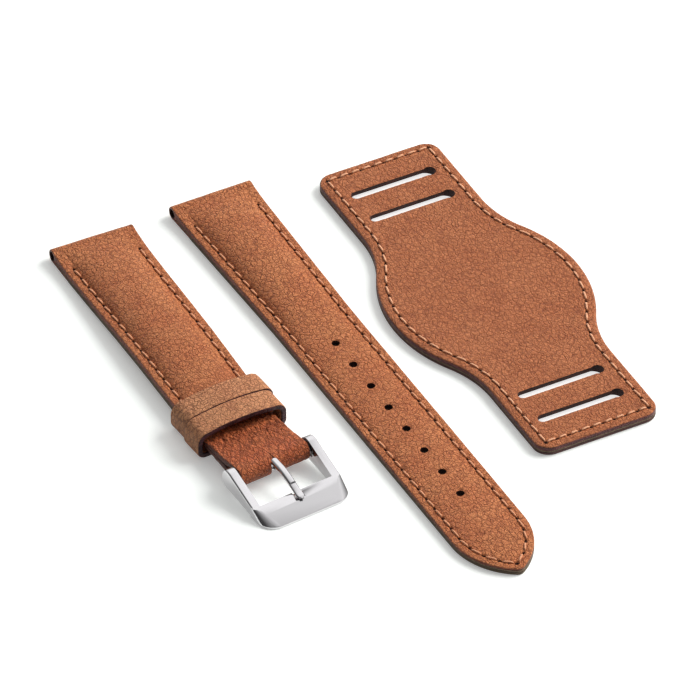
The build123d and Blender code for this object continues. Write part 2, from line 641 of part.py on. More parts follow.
for run in make_face(pad_outline(PAD_SEAM_INSET, 0)).edges():
    way = run % 0
    spacing = (PAD_END_PITCH, PAD_END_STITCH) if abs(way.X) > abs(way.Y) else (STITCH_PITCH, STITCH_LENGTH)
    stitches, beds = stitches_along(run, lambda y: PAD_HEIGHT, *spacing)
    pad_thread += stitches
    pad_beds += beds
for name, low, thickness, plan in pad_layers:
    layer = Pos(0, 0, low) * extrude(plan, thickness)
    parts[name] = PAD_PLACE * (layer - pad_beds if name == "pad_face" else layer)
parts["pad_thread"] = PAD_PLACE * Compound(pad_thread)

os.makedirs("parts", exist_ok=True)
for name, solid in parts.items():
    export_step(solid, f"parts/{name}.step")
    print(name, round(solid.volume, 2))
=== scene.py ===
import logging
import math
from collections.abc import Callable
from dataclasses import dataclass, field
from enum import Enum

import bmesh
import bpy
import numpy as np
from bpy.types import Material, Node, NodeSocket, NodeTree, Object
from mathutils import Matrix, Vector


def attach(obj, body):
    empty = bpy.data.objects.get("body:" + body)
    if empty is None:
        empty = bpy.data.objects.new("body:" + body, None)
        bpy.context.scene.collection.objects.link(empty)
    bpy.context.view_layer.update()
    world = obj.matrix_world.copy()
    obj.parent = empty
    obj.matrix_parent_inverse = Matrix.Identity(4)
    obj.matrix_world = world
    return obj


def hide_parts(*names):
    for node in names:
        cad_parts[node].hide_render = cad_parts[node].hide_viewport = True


# The looks of a bund watch strap: two padded straps, a slotted pad, stitched seams and a steel buckle.
# Shapes are worked out in millimetres as (across, forward, up) in the frame of each loose piece, where
# forward runs from the lug end to the buckle or the tip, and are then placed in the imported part's frame.

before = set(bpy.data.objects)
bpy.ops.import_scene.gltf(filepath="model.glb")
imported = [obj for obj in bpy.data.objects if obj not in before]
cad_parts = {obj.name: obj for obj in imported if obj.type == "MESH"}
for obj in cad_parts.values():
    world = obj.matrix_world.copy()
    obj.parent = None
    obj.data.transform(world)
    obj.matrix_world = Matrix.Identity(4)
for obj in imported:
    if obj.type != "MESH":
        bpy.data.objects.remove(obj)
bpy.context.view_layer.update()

MM = 0.001
Array = np.ndarray


# ---------------------------------------------------------------- placing and meshes

@dataclass(frozen=True)
class Place:
    """Where a loose piece lies: its origin on the surface in mm, and its turn about the vertical."""

    x: float
    y: float
    turn: float = 0.0

    def to_world(self, points: Array) -> Array:
        """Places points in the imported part's frame.

        In words: forward is -Y, the pair (across, -forward) is turned and moved to the origin.

        Args:
            points: (across, forward, up) in mm, any shape that ends in 3.

        Returns:
            The same points in metres.
        """
        turn = math.radians(self.turn)
        across, forward, up = points[..., 0], points[..., 1], points[..., 2]
        x = self.x + across * math.cos(turn) + forward * math.sin(turn)
        y = self.y + across * math.sin(turn) - forward * math.cos(turn)
        return stacked(x, y, up) * MM

    def ahead(self, forward: float, turn: float) -> "Place":
        """The place at a distance forward on this one's middle line, turned further."""
        x, y, _ = self.to_world(np.array([0.0, forward, 0.0])) / MM
        return Place(x, y, self.turn + turn)


@dataclass
class Surface:
    """A closed skin: points in mm, arrays of faces by number of corners, and markings for the finish."""

    points: Array
    faces: list[Array]
    marks: dict[str, Array] = field(default_factory=dict)

    @staticmethod
    def joined(parts: list["Surface"]) -> "Surface":
        """Puts several skins into one.

        Args:
            parts: the skins, with the same markings.

        Returns:
            One skin that holds them all, apart from each other.
        """
        starts = np.cumsum([0] + [len(part.points) for part in parts[:-1]])
        faces = [group + start for part, start in zip(parts, starts) for group in part.faces]
        marks = {name: np.concatenate([part.marks[name] for part in parts]) for name in parts[0].marks}
        return Surface(np.concatenate([part.points for part in parts]), faces, marks)


def unit(vectors: Array) -> Array:
    """Vectors shortened or stretched to length 1."""
    return vectors / np.maximum(np.linalg.norm(vectors, axis=-1, keepdims=True), 1e-9)


def smoothstep(low: float, high: float, values: Array) -> Array:
    """0 up to low, 1 from high on, and a smooth 3t^2 - 2t^3 between them."""
    t = np.clip((values - low) / (high - low), 0, 1)
    return t * t * (3 - 2 * t)


def stacked(*parts: Array | float) -> Array:
    """Joins coordinates, each a grid, a row or one number, along a new last axis."""
    return np.stack(np.broadcast_arrays(*parts), axis=-1)


def grid_faces(rows: int, columns: int, close_rows: bool = False, close_columns: bool = False) -> Array:
    """Four-cornered faces between the points of a grid.

    Args:
        rows: number of rows.
        columns: number of points in a row.
        close_rows: whether the last row joins the first.
        close_columns: whether the last column joins the first.

    Returns:
        Point numbers, four to a face.
    """
    index = np.arange(rows * columns).reshape(rows, columns)
    if close_rows:
        index = np.concatenate([index, index[:1]])
    if close_columns:
        index = np.concatenate([index, index[:, :1]], axis=1)
    corners = [index[:-1, :-1], index[1:, :-1], index[1:, 1:], index[:-1, 1:]]
    return np.stack(corners, axis=-1).reshape(-1, 4)


def perimeter(rows: int, columns: int) -> Array:
    """Point numbers round the border of a grid, once, in order."""
    index = np.arange(rows * columns).reshape(rows, columns)
    return np.concatenate([index[0, :-1], index[:-1, -1], index[-1, :0:-1], index[:0:-1, 0]])


@dataclass(frozen=True)
class Rim:
    """The cut edge of a sheet: how far it is rounded outwards and downwards, and in how many steps."""

    reach: float = 0.3
    outer: float = 0.3
    inner: float = 0.15
    steps: int = 4
    wall_steps: int = 3


def closed_sheet(outer: Array, inner: Array, rim: Rim, marks: dict[str, Array] | None = None) -> Surface:
    """A sheet of leather between two grids, closed all round by a rounded edge.

    In words: from each border point of the outer grid the edge follows a quarter of an ellipse,
    reach * sin(a) outwards and outer * (1 - cos(a)) down, then a straight wall, then a quarter of an
    ellipse back to the inner grid. Outwards is square to the border and to the line between the grids.

    Args:
        outer: points of the face that shows, rows by columns by 3.
        inner: points of the face under it, the same size.
        rim: how the edge is rounded.
        marks: markings of the outer grid, rows by columns each.

    Returns:
        The closed skin, whose marking "edge" is 1 on the edge and 0 on the faces.
    """
    rows, columns = outer.shape[:2]
    loop = perimeter(rows, columns)
    top, low = outer.reshape(-1, 3)[loop], inner.reshape(-1, 3)[loop]
    up = unit(top - low)
    thick = np.linalg.norm(top - low, axis=-1, keepdims=True)
    way = np.roll(top, -1, axis=0) - np.roll(top, 1, axis=0)
    out = unit(np.cross(unit(way), up))
    check = columns // 2
    if np.dot(out[check], outer[1, check] - outer[0, check]) > 0:
        out = -out
    outer_drop = np.minimum(rim.outer, 0.45 * thick)
    inner_rise = np.minimum(rim.inner, 0.45 * thick)
    rings, edge = [], []
    for angle in np.linspace(0, np.pi / 2, rim.steps + 1)[1:]:
        rings.append(top + out * rim.reach * np.sin(angle) - up * outer_drop * (1 - np.cos(angle)))
        edge.append(np.sin(angle) ** 3)
    wall_top = rings[-1]
    wall_low = low + out * rim.reach + up * inner_rise
    for share in np.linspace(0, 1, rim.wall_steps + 1)[1:]:
        rings.append(wall_top + (wall_low - wall_top) * share)
        edge.append(1.0)
    for angle in np.linspace(np.pi / 2, 0, 4)[1:-1]:
        rings.append(low + out * rim.reach * np.sin(angle) + up * inner_rise * (1 - np.cos(angle)))
        edge.append(1.0)
    count = rows * columns
    ring_index = 2 * count + np.arange(len(rings) * len(loop)).reshape(len(rings), len(loop))
    order = np.concatenate([loop[None], ring_index, loop[None] + count])
    after = np.roll(order, -1, axis=1)
    wall = stacked(order[:-1], after[:-1], after[1:], order[1:]).reshape(-1, 4)
    faces = grid_faces(rows, columns)
    points = np.concatenate([outer.reshape(-1, 3), inner.reshape(-1, 3)] + rings)
    edge_mark = np.concatenate([np.zeros(2 * count), np.repeat(edge, len(loop))])
    made = {"edge": edge_mark}
    for name, values in (marks or {}).items():
        rest = np.zeros(len(points) - count)
        made[name] = np.concatenate([values.reshape(-1), rest])
    return Surface(points, [faces, faces[:, ::-1] + count, wall], made)


def prism(outline: Array, offset: tuple[float, float, float]) -> Surface:
    """A solid with flat ends: a closed outline carried along a straight offset.

    Args:
        outline: corner points in mm, one row each.
        offset: from the first end to the second, in mm.

    Returns:
        The closed skin.
    """
    count = len(outline)
    points = np.concatenate([outline, outline + np.array(offset)])
    index = np.arange(count)
    after = np.roll(index, -1)
    sides = stacked(index, after, after + count, index + count)
    ends = np.stack([index[::-1], index + count])
    return Surface(points, [sides, ends])


def stadium(length: float, width: float, steps: int = 20) -> Array:
    """Plan of a round-ended slot along the first axis, centred: two half circles joined by lines.

    Args:
        length, width: its size in mm.
        steps: points on each half circle.

    Returns:
        The outline's points, one row each.
    """
    half = length / 2 - width / 2
    angle = np.linspace(-np.pi / 2, np.pi / 2, steps)
    right = stacked(half + np.cos(angle) * width / 2, np.sin(angle) * width / 2)
    return np.concatenate([right, -right])


def circle(radius: float, steps: int = 40) -> Array:
    """Points of a circle round the origin, one row each."""
    angle = np.linspace(0, 2 * np.pi, steps, endpoint=False)
    return stacked(np.cos(angle), np.sin(angle)) * radius


def standing(plan: Array, middle: tuple[float, float], low: float, high: float) -> Surface:
    """A plan outline moved to its middle and carried straight up from low to high.

    Args:
        plan: the outline's points.
        middle: where the plan's origin goes.
        low, high: the heights of the flat ends.

    Returns:
        The closed skin.
    """
    moved = plan + np.array(middle)
    outline = np.column_stack([moved, np.full(len(moved), low)])
    return prism(outline, (0, 0, high - low))


def make_object(name: str, surface: Surface, place: Place, finish: Material) -> Object:
    """Puts a skin into the scene as an object with its faces turned outwards.

    Args:
        name: the piece's name.
        surface: the skin, in mm.
        place: where its loose piece lies.
        finish: its material.

    Returns:
        The object, which sits at the origin.
    """
    mesh = bpy.data.meshes.new(name)
    points = place.to_world(surface.points)
    sizes = np.concatenate([np.full(len(group), group.shape[1]) for group in surface.faces])
    corners = np.concatenate([group.reshape(-1) for group in surface.faces])
    mesh.vertices.add(len(points))
    mesh.vertices.foreach_set("co", points.astype(np.float32).ravel())
    mesh.loops.add(len(corners))
    mesh.loops.foreach_set("vertex_index", corners.astype(np.int32))
    mesh.polygons.add(len(sizes))
    mesh.polygons.foreach_set("loop_start", np.concatenate([[0], np.cumsum(sizes)[:-1]]).astype(np.int32))
    mesh.update(calc_edges=True)
    for mark, values in surface.marks.items():
        mesh.attributes.new(mark, "FLOAT", "POINT").data.foreach_set("value", values.astype(np.float32))
    mesh.validate()
    work = bmesh.new()
    work.from_mesh(mesh)
    bmesh.ops.recalc_face_normals(work, faces=work.faces)
    work.to_mesh(mesh)
    work.free()
    mesh.shade_smooth()
    mesh.materials.append(finish)
    piece = bpy.data.objects.new(name, mesh)
    bpy.context.collection.objects.link(piece)
    return piece


def bake_modifiers(piece: Object) -> None:
    """Replaces a piece's mesh by what its modifiers make of it, and removes them.

    Args:
        piece: the piece.
    """
    graph = bpy.context.evaluated_depsgraph_get()
    made = bpy.data.meshes.new_from_object(piece.evaluated_get(graph))
    piece.modifiers.clear()
    piece.data = made


def cut(piece: Object, cutter: Surface, place: Place, wall: Material) -> None:
    """Cuts a solid out of a piece and gives the cut walls a material of their own.

    Args:
        piece: the piece to cut.
        cutter: what is taken away, in mm.
        place: where its loose piece lies.
        wall: the material of the new walls.
    """
    tool = make_object(piece.name + "_cutter", cutter, place, wall)
    modifier = piece.modifiers.new("cut", "BOOLEAN")
    modifier.operation = "DIFFERENCE"
    modifier.solver = "EXACT"
    modifier.material_mode = "TRANSFER"
    modifier.object = tool
    bake_modifiers(piece)
    bpy.data.objects.remove(tool)


def crisp(piece: Object, angle: float) -> None:
    """Shades a piece smooth, apart from edges sharper than the angle in degrees."""
    piece.data.shade_smooth()
    piece.data.set_sharp_from_angle(angle=math.radians(angle))


def settle(piece: Object, body: str, slot: str, *nodes: str) -> None:
    """Lets a piece ride on its body and stand for its CAD nodes.

    Args:
        piece: the piece.
        body: the body that carries it.
        slot: its material slot; not used.
        nodes: the CAD nodes.
    """
    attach(piece, body)
    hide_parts(*nodes)


# ---------------------------------------------------------------- leather relief

def lattice_noise(across: Array, along: Array, seed: float) -> Array:
    """One even value from 0 to 1 for each whole-numbered cell: the fraction of a large sine."""
    return np.modf(np.abs(np.sin(across * 127.1 + along * 311.7 + seed * 74.7) * 43758.5453))[0]


def soft_noise(across: Array, along: Array, size: float, seed: float) -> Array:
    """Smooth waves of about one size: lattice values blended between the four nearest cells.

    Args:
        across, along: the points.
        size: how long a wave is.
        seed: tells one pattern from another.

    Returns:
        A value from 0 to 1 at each point.
    """
    u, v = across / size, along / size
    cell_u, cell_v = np.floor(u), np.floor(v)
    share_u, share_v = smoothstep(0, 1, u - cell_u), smoothstep(0, 1, v - cell_v)
    low, high = (lattice_noise(cell_u, row, seed) * (1 - share_u)
                 + lattice_noise(cell_u + 1, row, seed) * share_u for row in (cell_v, cell_v + 1))
    return low * (1 - share_v) + high * share_v


@dataclass(frozen=True)
class CreaseNet:
    """A net of creases between leather pebbles of one size.

    In words: each cell of a lattice holds one jittered centre, and a point lies in a crease where its
    nearest and second nearest centres are almost equally far.
    """

    size: float
    stretch: float
    width: float
    seed: float

    def at(self, across: Array, along: Array) -> Array:
        """How deep in a crease each point lies, from 0 to 1.

        Args:
            across, along: the points, in mm.

        Returns:
            1 in the middle of a crease, 0 between creases.
        """
        sway = self.size * 0.9
        wave_u = (soft_noise(across, along, self.size * 1.7, self.seed + 5) - 0.5) * sway
        wave_v = (soft_noise(across, along, self.size * 1.7, self.seed + 9) - 0.5) * sway
        u = (across + wave_u) / self.size
        v = (along + wave_v) / (self.size * self.stretch)
        cell_u, cell_v = np.floor(u), np.floor(v)
        nearest = np.full(u.shape, 9.0)
        second = np.full(u.shape, 9.0)
        for step_u in (-1, 0, 1):
            for step_v in (-1, 0, 1):
                centre_u, centre_v = cell_u + step_u, cell_v + step_v
                jitter_u = lattice_noise(centre_u, centre_v, self.seed)
                jitter_v = lattice_noise(centre_u, centre_v, self.seed + 1)
                away = np.hypot(centre_u + jitter_u - u, centre_v + jitter_v - v)
                second = np.minimum(second, np.maximum(nearest, away))
                nearest = np.minimum(nearest, away)
        return 1 - smoothstep(0, self.width, second - nearest)


# ---------------------------------------------------------------- seams

@dataclass
class SeamLine:
    """One run of stitches on a line in plan, with evenly shared stitches."""

    line: Array
    pitch: float

    def lengths(self) -> Array:
        """Length along the line up to each of its points."""
        steps = np.linalg.norm(np.diff(self.line, axis=0), axis=1)
        return np.concatenate([[0], np.cumsum(steps)])

    def at(self, shares: Array) -> tuple[Array, Array]:
        """Points at shares of the line's length.

        Args:
            shares: from 0 to 1.

        Returns:
            The points in plan, and the line's direction at each.
        """
        run = self.lengths()
        wanted = shares * run[-1]
        places, ahead, behind = (
            stacked(*(np.interp(wanted + step, run, self.line[:, axis]) for axis in (0, 1)))
            for step in (0.0, 0.05, -0.05))
        return places, unit(ahead - behind)

    def count(self) -> int:
        """How many stitches the line takes."""
        return max(round(self.lengths()[-1] / self.pitch), 1)

    def stitches(self) -> tuple[Array, Array]:
        """Middles and directions of the stitches."""
        return self.at((np.arange(self.count()) + 0.5) / self.count())

    def holes(self) -> tuple[Array, Array]:
        """Places and directions of the needle holes, between the stitches and at both ends."""
        return self.at(np.arange(self.count() + 1) / self.count())


@dataclass
class Seam:
    """All the runs of one seam, and what it does to the leather and with its thread."""

    lines: list[SeamLine]
    thread_share: float = 0.74
    thread_width: float = 0.48
    thread_height: float = 0.32
    thread_lift: float = 0.1
    thread_sink: float = 0.3
    slant: float = 0.09
    slant_spread: float = 0.03
    reach_spread: float = 0.02
    ply_swell: float = 0.07
    ply_twist: float = 7.0
    hole_length: float = 0.55
    hole_width: float = 0.27
    hole_near: float = 1.5

    def needle_holes(self, across: Array, along: Array) -> Array:
        """How deep in a needle hole each point lies, from 0 to 1.

        In words: exp(-d^4), where d is the distance to the nearest hole, measured in the hole's half
        length along the seam and in its half width across it.

        Args:
            across, along: the points, in mm.

        Returns:
            1 in the middle of a hole, 0 away from it.
        """
        found = [line.holes() for line in self.lines]
        centres = np.concatenate([centre for centre, _ in found])
        ways = np.concatenate([way for _, way in found])
        points = stacked(across.ravel(), along.ravel())
        deepest = np.zeros(len(points))
        for centre, way in zip(centres, ways):
            near = np.flatnonzero(np.abs(points - centre).max(axis=1) < self.hole_near)
            offset = points[near] - centre
            lengthwise = offset @ way / self.hole_length
            sideways = (offset[:, 0] * way[1] - offset[:, 1] * way[0]) / self.hole_width
            depth = np.exp(-(lengthwise ** 2 + sideways ** 2) ** 2)
            deepest[near] = np.maximum(deepest[near], depth)
        return deepest.reshape(across.shape)

    def thread(self, height: Callable[[Array, Array], Array], sign: float,
               rng: np.random.Generator) -> Surface:
        """The stitches as bent, twisted capsules that dip into the needle holes at both ends.

        In words: along s from -1 to 1 the thread's radius falls as (1 - s^6)^(1/2), its middle line
        sinks with s^4, and its skin swells by a few percent with cos(2 * angle + twist * s), which
        gives the two plies.

        Args:
            height: gives the leather's height for points in plan.
            sign: 1 on the face, -1 under the lining.
            rng: source of the small differences between stitches.

        Returns:
            One skin with every stitch.
        """
        middles, ways = (np.concatenate(part) for part in zip(*[line.stitches() for line in self.lines]))
        rings, sides = 12, 10
        s = np.linspace(-0.995, 0.995, rings)[:, None]
        angle = np.linspace(0, 2 * np.pi, sides, endpoint=False)[None, :]
        count = len(middles)
        slant = rng.normal(self.slant, self.slant_spread, count)[:, None, None]
        pitches = np.concatenate([np.full(line.count(), line.pitch) for line in self.lines])
        reach = (pitches * rng.normal(self.thread_share / 2, self.reach_spread, count))[:, None, None]
        twist = rng.uniform(0, 2 * np.pi, count)[:, None, None]
        swell = np.sqrt(1 - s ** 6) * (1 + self.ply_swell * np.cos(2 * angle + self.ply_twist * s + twist))
        lengthwise = reach * s + 0 * angle
        sideways = np.cos(angle) * swell * self.thread_width / 2 + slant * reach * s
        rise = np.sin(angle) * swell * self.thread_height / 2 + self.thread_lift - self.thread_sink * s ** 4
        way, side = ways[:, None, None], stacked(ways[:, 1], -ways[:, 0])[:, None, None]
        plan = (middles[:, None, None] + way * np.broadcast_to(lengthwise[..., None], rise.shape + (1,))
                + side * sideways[..., None])
        up = height(plan[..., 0], plan[..., 1]) + sign * rise
        points = np.concatenate([plan, up[..., None]], axis=-1).reshape(-1, 3)
        faces = grid_faces(rings, sides, close_columns=True)
        starts = (np.arange(count) * rings * sides)[:, None, None]
        first = np.arange(sides)[::-1][None]
        last = first + (rings - 1) * sides
        caps = np.concatenate([first, last[:, ::-1]])
        return Surface(points, [(faces + starts).reshape(-1, 4), (caps + starts).reshape(-1, sides)])


# ---------------------------------------------------------------- finishes

def linear(code: str) -> tuple[float, float, float, float]:
    """An sRGB hex value as linear colour values with full cover.

    Args:
        code: six hex digits after a hash mark.

    Returns:
        Red, green, blue and 1.
    """
    shares = [int(code[start:start + 2], 16) / 255 for start in (1, 3, 5)]
    values = [s / 12.92 if s <= 0.04045 else ((s + 0.055) / 1.055) ** 2.4 for s in shares]
    return (*values, 1.0)


def add_node(tree: NodeTree, kind: str, sockets: dict, **settings: object) -> Node:
    """Adds a node with its settings, values and links.

    Args:
        tree: the material's node tree.
        kind: the node type's name after ShaderNode.
        sockets: for each input, by name or number, a value, the output that feeds it, or a node,
            whose first output then feeds it.
        settings: the node's own properties.

    Returns:
        The node.
    """
    node = tree.nodes.new("ShaderNode" + kind)
    for name, value in settings.items():
        setattr(node, name, value)
    for name, value in sockets.items():
        if isinstance(value, Node):
            value = value.outputs[0]
        if isinstance(value, NodeSocket):
            tree.links.new(value, node.inputs[name])
        else:
            node.inputs[name].default_value = value
    return node


def new_material(name: str) -> tuple[Material, NodeTree]:
    """An empty node material and its tree.

    Args:
        name: the material's name.

    Returns:
        Both.
    """
    material = bpy.data.materials.new(name)
    material.use_nodes = True
    material.node_tree.nodes.clear()
    return material, material.node_tree


def millimetres(tree: NodeTree, turn: float = 0.0, stretch: float = 1.0) -> NodeSocket:
    """Object coordinates in mm, turned about the vertical and shortened along the strap.

    Args:
        tree: the node tree.
        turn: the turn in degrees.
        stretch: how many times longer a pattern gets.

    Returns:
        The coordinates.
    """
    place = add_node(tree, "TexCoord", {})
    mapping = add_node(tree, "Mapping", {
        "Vector": place.outputs["Object"], "Rotation": (0, 0, math.radians(turn)),
        "Scale": (1 / MM, 1 / MM / stretch, 1 / MM)})
    return mapping.outputs["Vector"]


def coated(tree: NodeTree, base: str, coats: list[tuple]) -> NodeSocket:
    """Lays coats of colour over a base colour, each where its mask is high.

    Args:
        tree: the material's node tree.
        base: the base colour's hex value.
        coats: for each coat its mask, the mask's value where it starts and where it is full, the
            most that it covers, and its colour, as a hex value or a socket.

    Returns:
        The colour with all coats on it.
    """
    colour = linear(base)
    for mask, low, high, cover, coat in coats:
        share = add_node(tree, "MapRange", {
            "Value": mask, "From Min": low, "From Max": high, "To Max": cover},
            interpolation_type="SMOOTHSTEP")
        paint = linear(coat) if isinstance(coat, str) else coat
        layer = add_node(tree, "Mix", {
            0: share, 6: colour, 7: paint}, data_type="RGBA")
        colour = layer.outputs[2]
    return colour


class Grain(Enum):
    """How a leather's surface was left: pebble size in mm, stretch along the strap, crease width, depth."""

    PEBBLED = (1.0, 1.4, 0.16, 0.1)
    CRACKLED = (1.2, 1.15, 0.14, 0.11)
    CREASED = (0.9, 2.4, 0.22, 0.13)
    CRACKED = (1.15, 1.0, 0.14, 0.12)
    PLAIN = (0.6, 1.0, 0.3, 0.02)


@dataclass(frozen=True)
class Leather:
    """Milled cowhide, drum dyed and waxed: pebbles that catch a broad soft sheen, with painted highlights on
    their tops and painted shade in the creases between them.
    """

    name: str
    grain: Grain
    body: str
    # Lighter dye tone of the clouds, and the colour of the painted highlight on the pores' tops.
    light: str
    # Colour of the painted shade in the creases.
    deep: str
    edge: str
    edge_deep: str
    # Colour of the painted shade in needle holes, punch rings and the bore.
    hole: str = "#34120A"
    turn: float = 0.0
    roughness: float = 0.52
    # How much painted shade the creases get.
    crease_shade: float = 0.3
    pore: float = 0.28
    pore_depth: float = 0.09
    cloud: float = 6.0

    def material(self) -> Material:
        """Builds the leather.

        In words: soft clouds mix the two dye tones, the pores' raised tops get a painted highlight in the
        light tone, creases of the grain and of the worked relief get painted shade in the deep tone, needle
        holes and the bore get painted shade almost black, and the cut edge has its own paint with streaks
        along it.

        Returns:
            The material.
        """
        size, stretch, width, depth = self.grain.value
        material, tree = new_material(self.name)
        plain = millimetres(tree)
        sway = add_node(tree, "TexNoise", {"Vector": plain, "Scale": 0.9 / size, "Detail": 2.0})
        bent = add_node(tree, "VectorMath", {
            0: sway.outputs["Color"], 1: (size * 0.8, size * 0.8, size * 0.8),
            2: millimetres(tree, self.turn, stretch)}, operation="MULTIPLY_ADD")
        creases = []
        for finer, reach in ((1.0, width), (2.3, width * 0.9)):
            cells = add_node(tree, "TexVoronoi", {
                "Vector": bent, "Scale": finer / size}, feature="DISTANCE_TO_EDGE")
            crease_and_shade = add_node(tree, "MapRange", {
                "Value": cells.outputs["Distance"], "From Max": reach, "To Min": 1.0, "To Max": 0.0},
                interpolation_type="SMOOTHSTEP")
            creases.append(crease_and_shade.outputs["Result"])
        pores_and_highlight, clouds = (add_node(tree, "TexNoise", {
            "Vector": plain, "Scale": 1 / spacing, "Detail": detail}).outputs["Fac"]
            for spacing, detail in ((self.pore, 3.0), (self.cloud, 5.0)))
        crease_shade_mask, holes, rim = (add_node(tree, "Attribute", {}, attribute_name=mark).outputs["Fac"]
                              for mark in ("crease_and_shade", "hole", "edge"))
        streak_place = add_node(tree, "Mapping", {"Vector": plain, "Scale": (0.3, 0.3, 2.4)})
        streaks = add_node(tree, "TexNoise", {
            "Vector": streak_place, "Scale": 1.4, "Detail": 4.0})
        paint = coated(tree, self.edge, [(streaks.outputs["Fac"], 0.35, 0.65, 1.0, self.edge_deep)])
        colour = coated(tree, self.body, [
            # Painted highlight: the pores' raised tops turn to the light tone.
            (clouds, 0.3, 0.7, 0.45, self.light), (pores_and_highlight, 0.42, 0.62, 0.5, self.light),
            # Painted shade: creases of the grain and the marked creases and grooves turn deep.
            (creases[1], 0.0, 1.0, self.crease_shade * 0.6, self.deep), (creases[0], 0.0, 1.0, self.crease_shade, self.deep),
            (crease_shade_mask, 0.1, 1.0, self.crease_shade, self.deep), (rim, 0.25, 0.9, 1.0, paint),
            # Painted shade: needle holes, punch rings and the bore turn almost black.
            (holes, 0.15, 0.7, 1.0, self.hole)])
        matt = add_node(tree, "MapRange", {
            "Value": pores_and_highlight, "From Min": 0.3, "From Max": 0.7, "To Min": self.roughness - 0.08,
            "To Max": self.roughness + 0.1}, interpolation_type="SMOOTHSTEP")
        pressed = add_node(tree, "Math", {0: creases[0], 1: creases[1]}, operation="ADD")
        relief = add_node(tree, "Bump", {
            "Height": pressed.outputs["Value"], "Strength": 1.0, "Distance": depth * MM}, invert=True)
        skin = add_node(tree, "Bump", {
            "Height": pores_and_highlight, "Strength": 0.8, "Distance": self.pore_depth * MM,
            "Normal": relief})
        shader = add_node(tree, "BsdfPrincipled", {
            "Base Color": colour, "Roughness": matt, "IOR": 1.5, "Specular IOR Level": 0.42,
            "Normal": skin})
        add_node(tree, "OutputMaterial", {"Surface": shader})
        return material


@dataclass(frozen=True)
class Fibre:
    """Matt fibre in two tones: the layered wall of a punched hole, pressed felt or bonded board.

    The density is how many waves of fibres there are to a millimetre, across, along and up.
    """

    name: str
    body: str
    deep: str
    density: tuple[float, float, float] = (2.5, 2.5, 2.5)
    detail: float = 5.0
    tangle: float = 1.2
    roughness: float = 0.9
    depth: float = 0.1

    def material(self) -> Material:
        """Builds the fibre.

        Returns:
            The material.
        """
        material, tree = new_material(self.name)
        place = add_node(tree, "Mapping", {"Vector": millimetres(tree), "Scale": self.density})
        fibres = add_node(tree, "TexNoise", {
            "Vector": place, "Scale": 1.0, "Detail": self.detail,
            "Distortion": self.tangle})
        colour = coated(tree, self.body, [(fibres.outputs["Fac"], 0.35, 0.65, 1.0, self.deep)])
        relief = add_node(tree, "Bump", {
            "Height": fibres.outputs["Fac"], "Strength": 0.8, "Distance": self.depth * MM})
        shader = add_node(tree, "BsdfPrincipled", {
            "Base Color": colour, "Roughness": self.roughness, "IOR": 1.5,
            "Normal": relief})
        add_node(tree, "OutputMaterial", {"Surface": shader})
        return material


@dataclass(frozen=True)
class Thread:
    """Bonded polyester sewing thread, 0.5 mm, two plies: pale, with a soft sheen along the twist and painted
    shade in the grooves between the plies.
    """

    name: str
    body: str
    # Colour of the painted shade between the plies, and of the darker fuzz.
    deep: str
    ply: float = 0.35
    slant: float = 40.0

    def material(self) -> Material:
        """Builds the thread, whose fibres are drawn 0.1 mm apart, coarser than real ones, so they show.

        Returns:
            The material.
        """
        material, tree = new_material(self.name)
        place = millimetres(tree, self.slant)
        twist = add_node(tree, "TexWave", {
            "Vector": place, "Scale": 0.5 / self.ply, "Distortion": 1.5, "Detail": 2.0})
        fuzz = add_node(tree, "TexNoise", {"Vector": place, "Scale": 9.0, "Detail": 2.0})
        # Painted shade: where the twist's bump is low, between the plies, the thread turns deep; the fuzz
        # varies its tone.
        colour = coated(tree, self.body, [(twist.outputs["Fac"], 0.5, 0.0, 0.45, self.deep),
                                          (fuzz.outputs["Fac"], 0.5, 0.8, 0.3, self.deep)])
        relief = add_node(tree, "Bump", {
            "Height": twist.outputs["Fac"], "Strength": 0.6, "Distance": 0.05 * MM})
        shader = add_node(tree, "BsdfPrincipled", {
            "Base Color": colour, "Roughness": 0.5, "IOR": 1.57, "Sheen Weight": 0.25,
            "Sheen Roughness": 0.4, "Normal": relief})
        add_node(tree, "OutputMaterial", {"Surface": shader})
        return material


@dataclass(frozen=True)
class Steel:
    """Stainless steel: mirror polished on the buckle, so it shows its surroundings, drawn on the wire."""

    name: str
    body: str
    roughness: float
    scratch: float
    grinding: tuple[float, float] = (30.0, 9.0)

    def material(self) -> Material:
        """Builds the steel, with hairlines drawn 0.4 mm apart, coarser than real ones, so they show.

        Returns:
            The material.
        """
        material, tree = new_material(self.name)
        hairlines = add_node(tree, "TexNoise", {
            "Vector": millimetres(tree, *self.grinding), "Scale": 2.5, "Detail": 3.0})
        smears = add_node(tree, "TexNoise", {
            "Vector": millimetres(tree), "Scale": 0.35, "Detail": 3.0})
        gloss = add_node(tree, "MapRange", {
            "Value": smears.outputs["Fac"], "From Min": 0.35, "From Max": 0.7, "To Min": self.roughness,
            "To Max": self.roughness * 1.8}, interpolation_type="SMOOTHSTEP")
        relief = add_node(tree, "Bump", {
            "Height": hairlines.outputs["Fac"], "Strength": 0.3, "Distance": self.scratch * MM})
        shader = add_node(tree, "BsdfPrincipled", {
            "Base Color": linear(self.body), "Metallic": 1.0, "Roughness": gloss,
            "Normal": relief})
        add_node(tree, "OutputMaterial", {"Surface": shader})
        return material


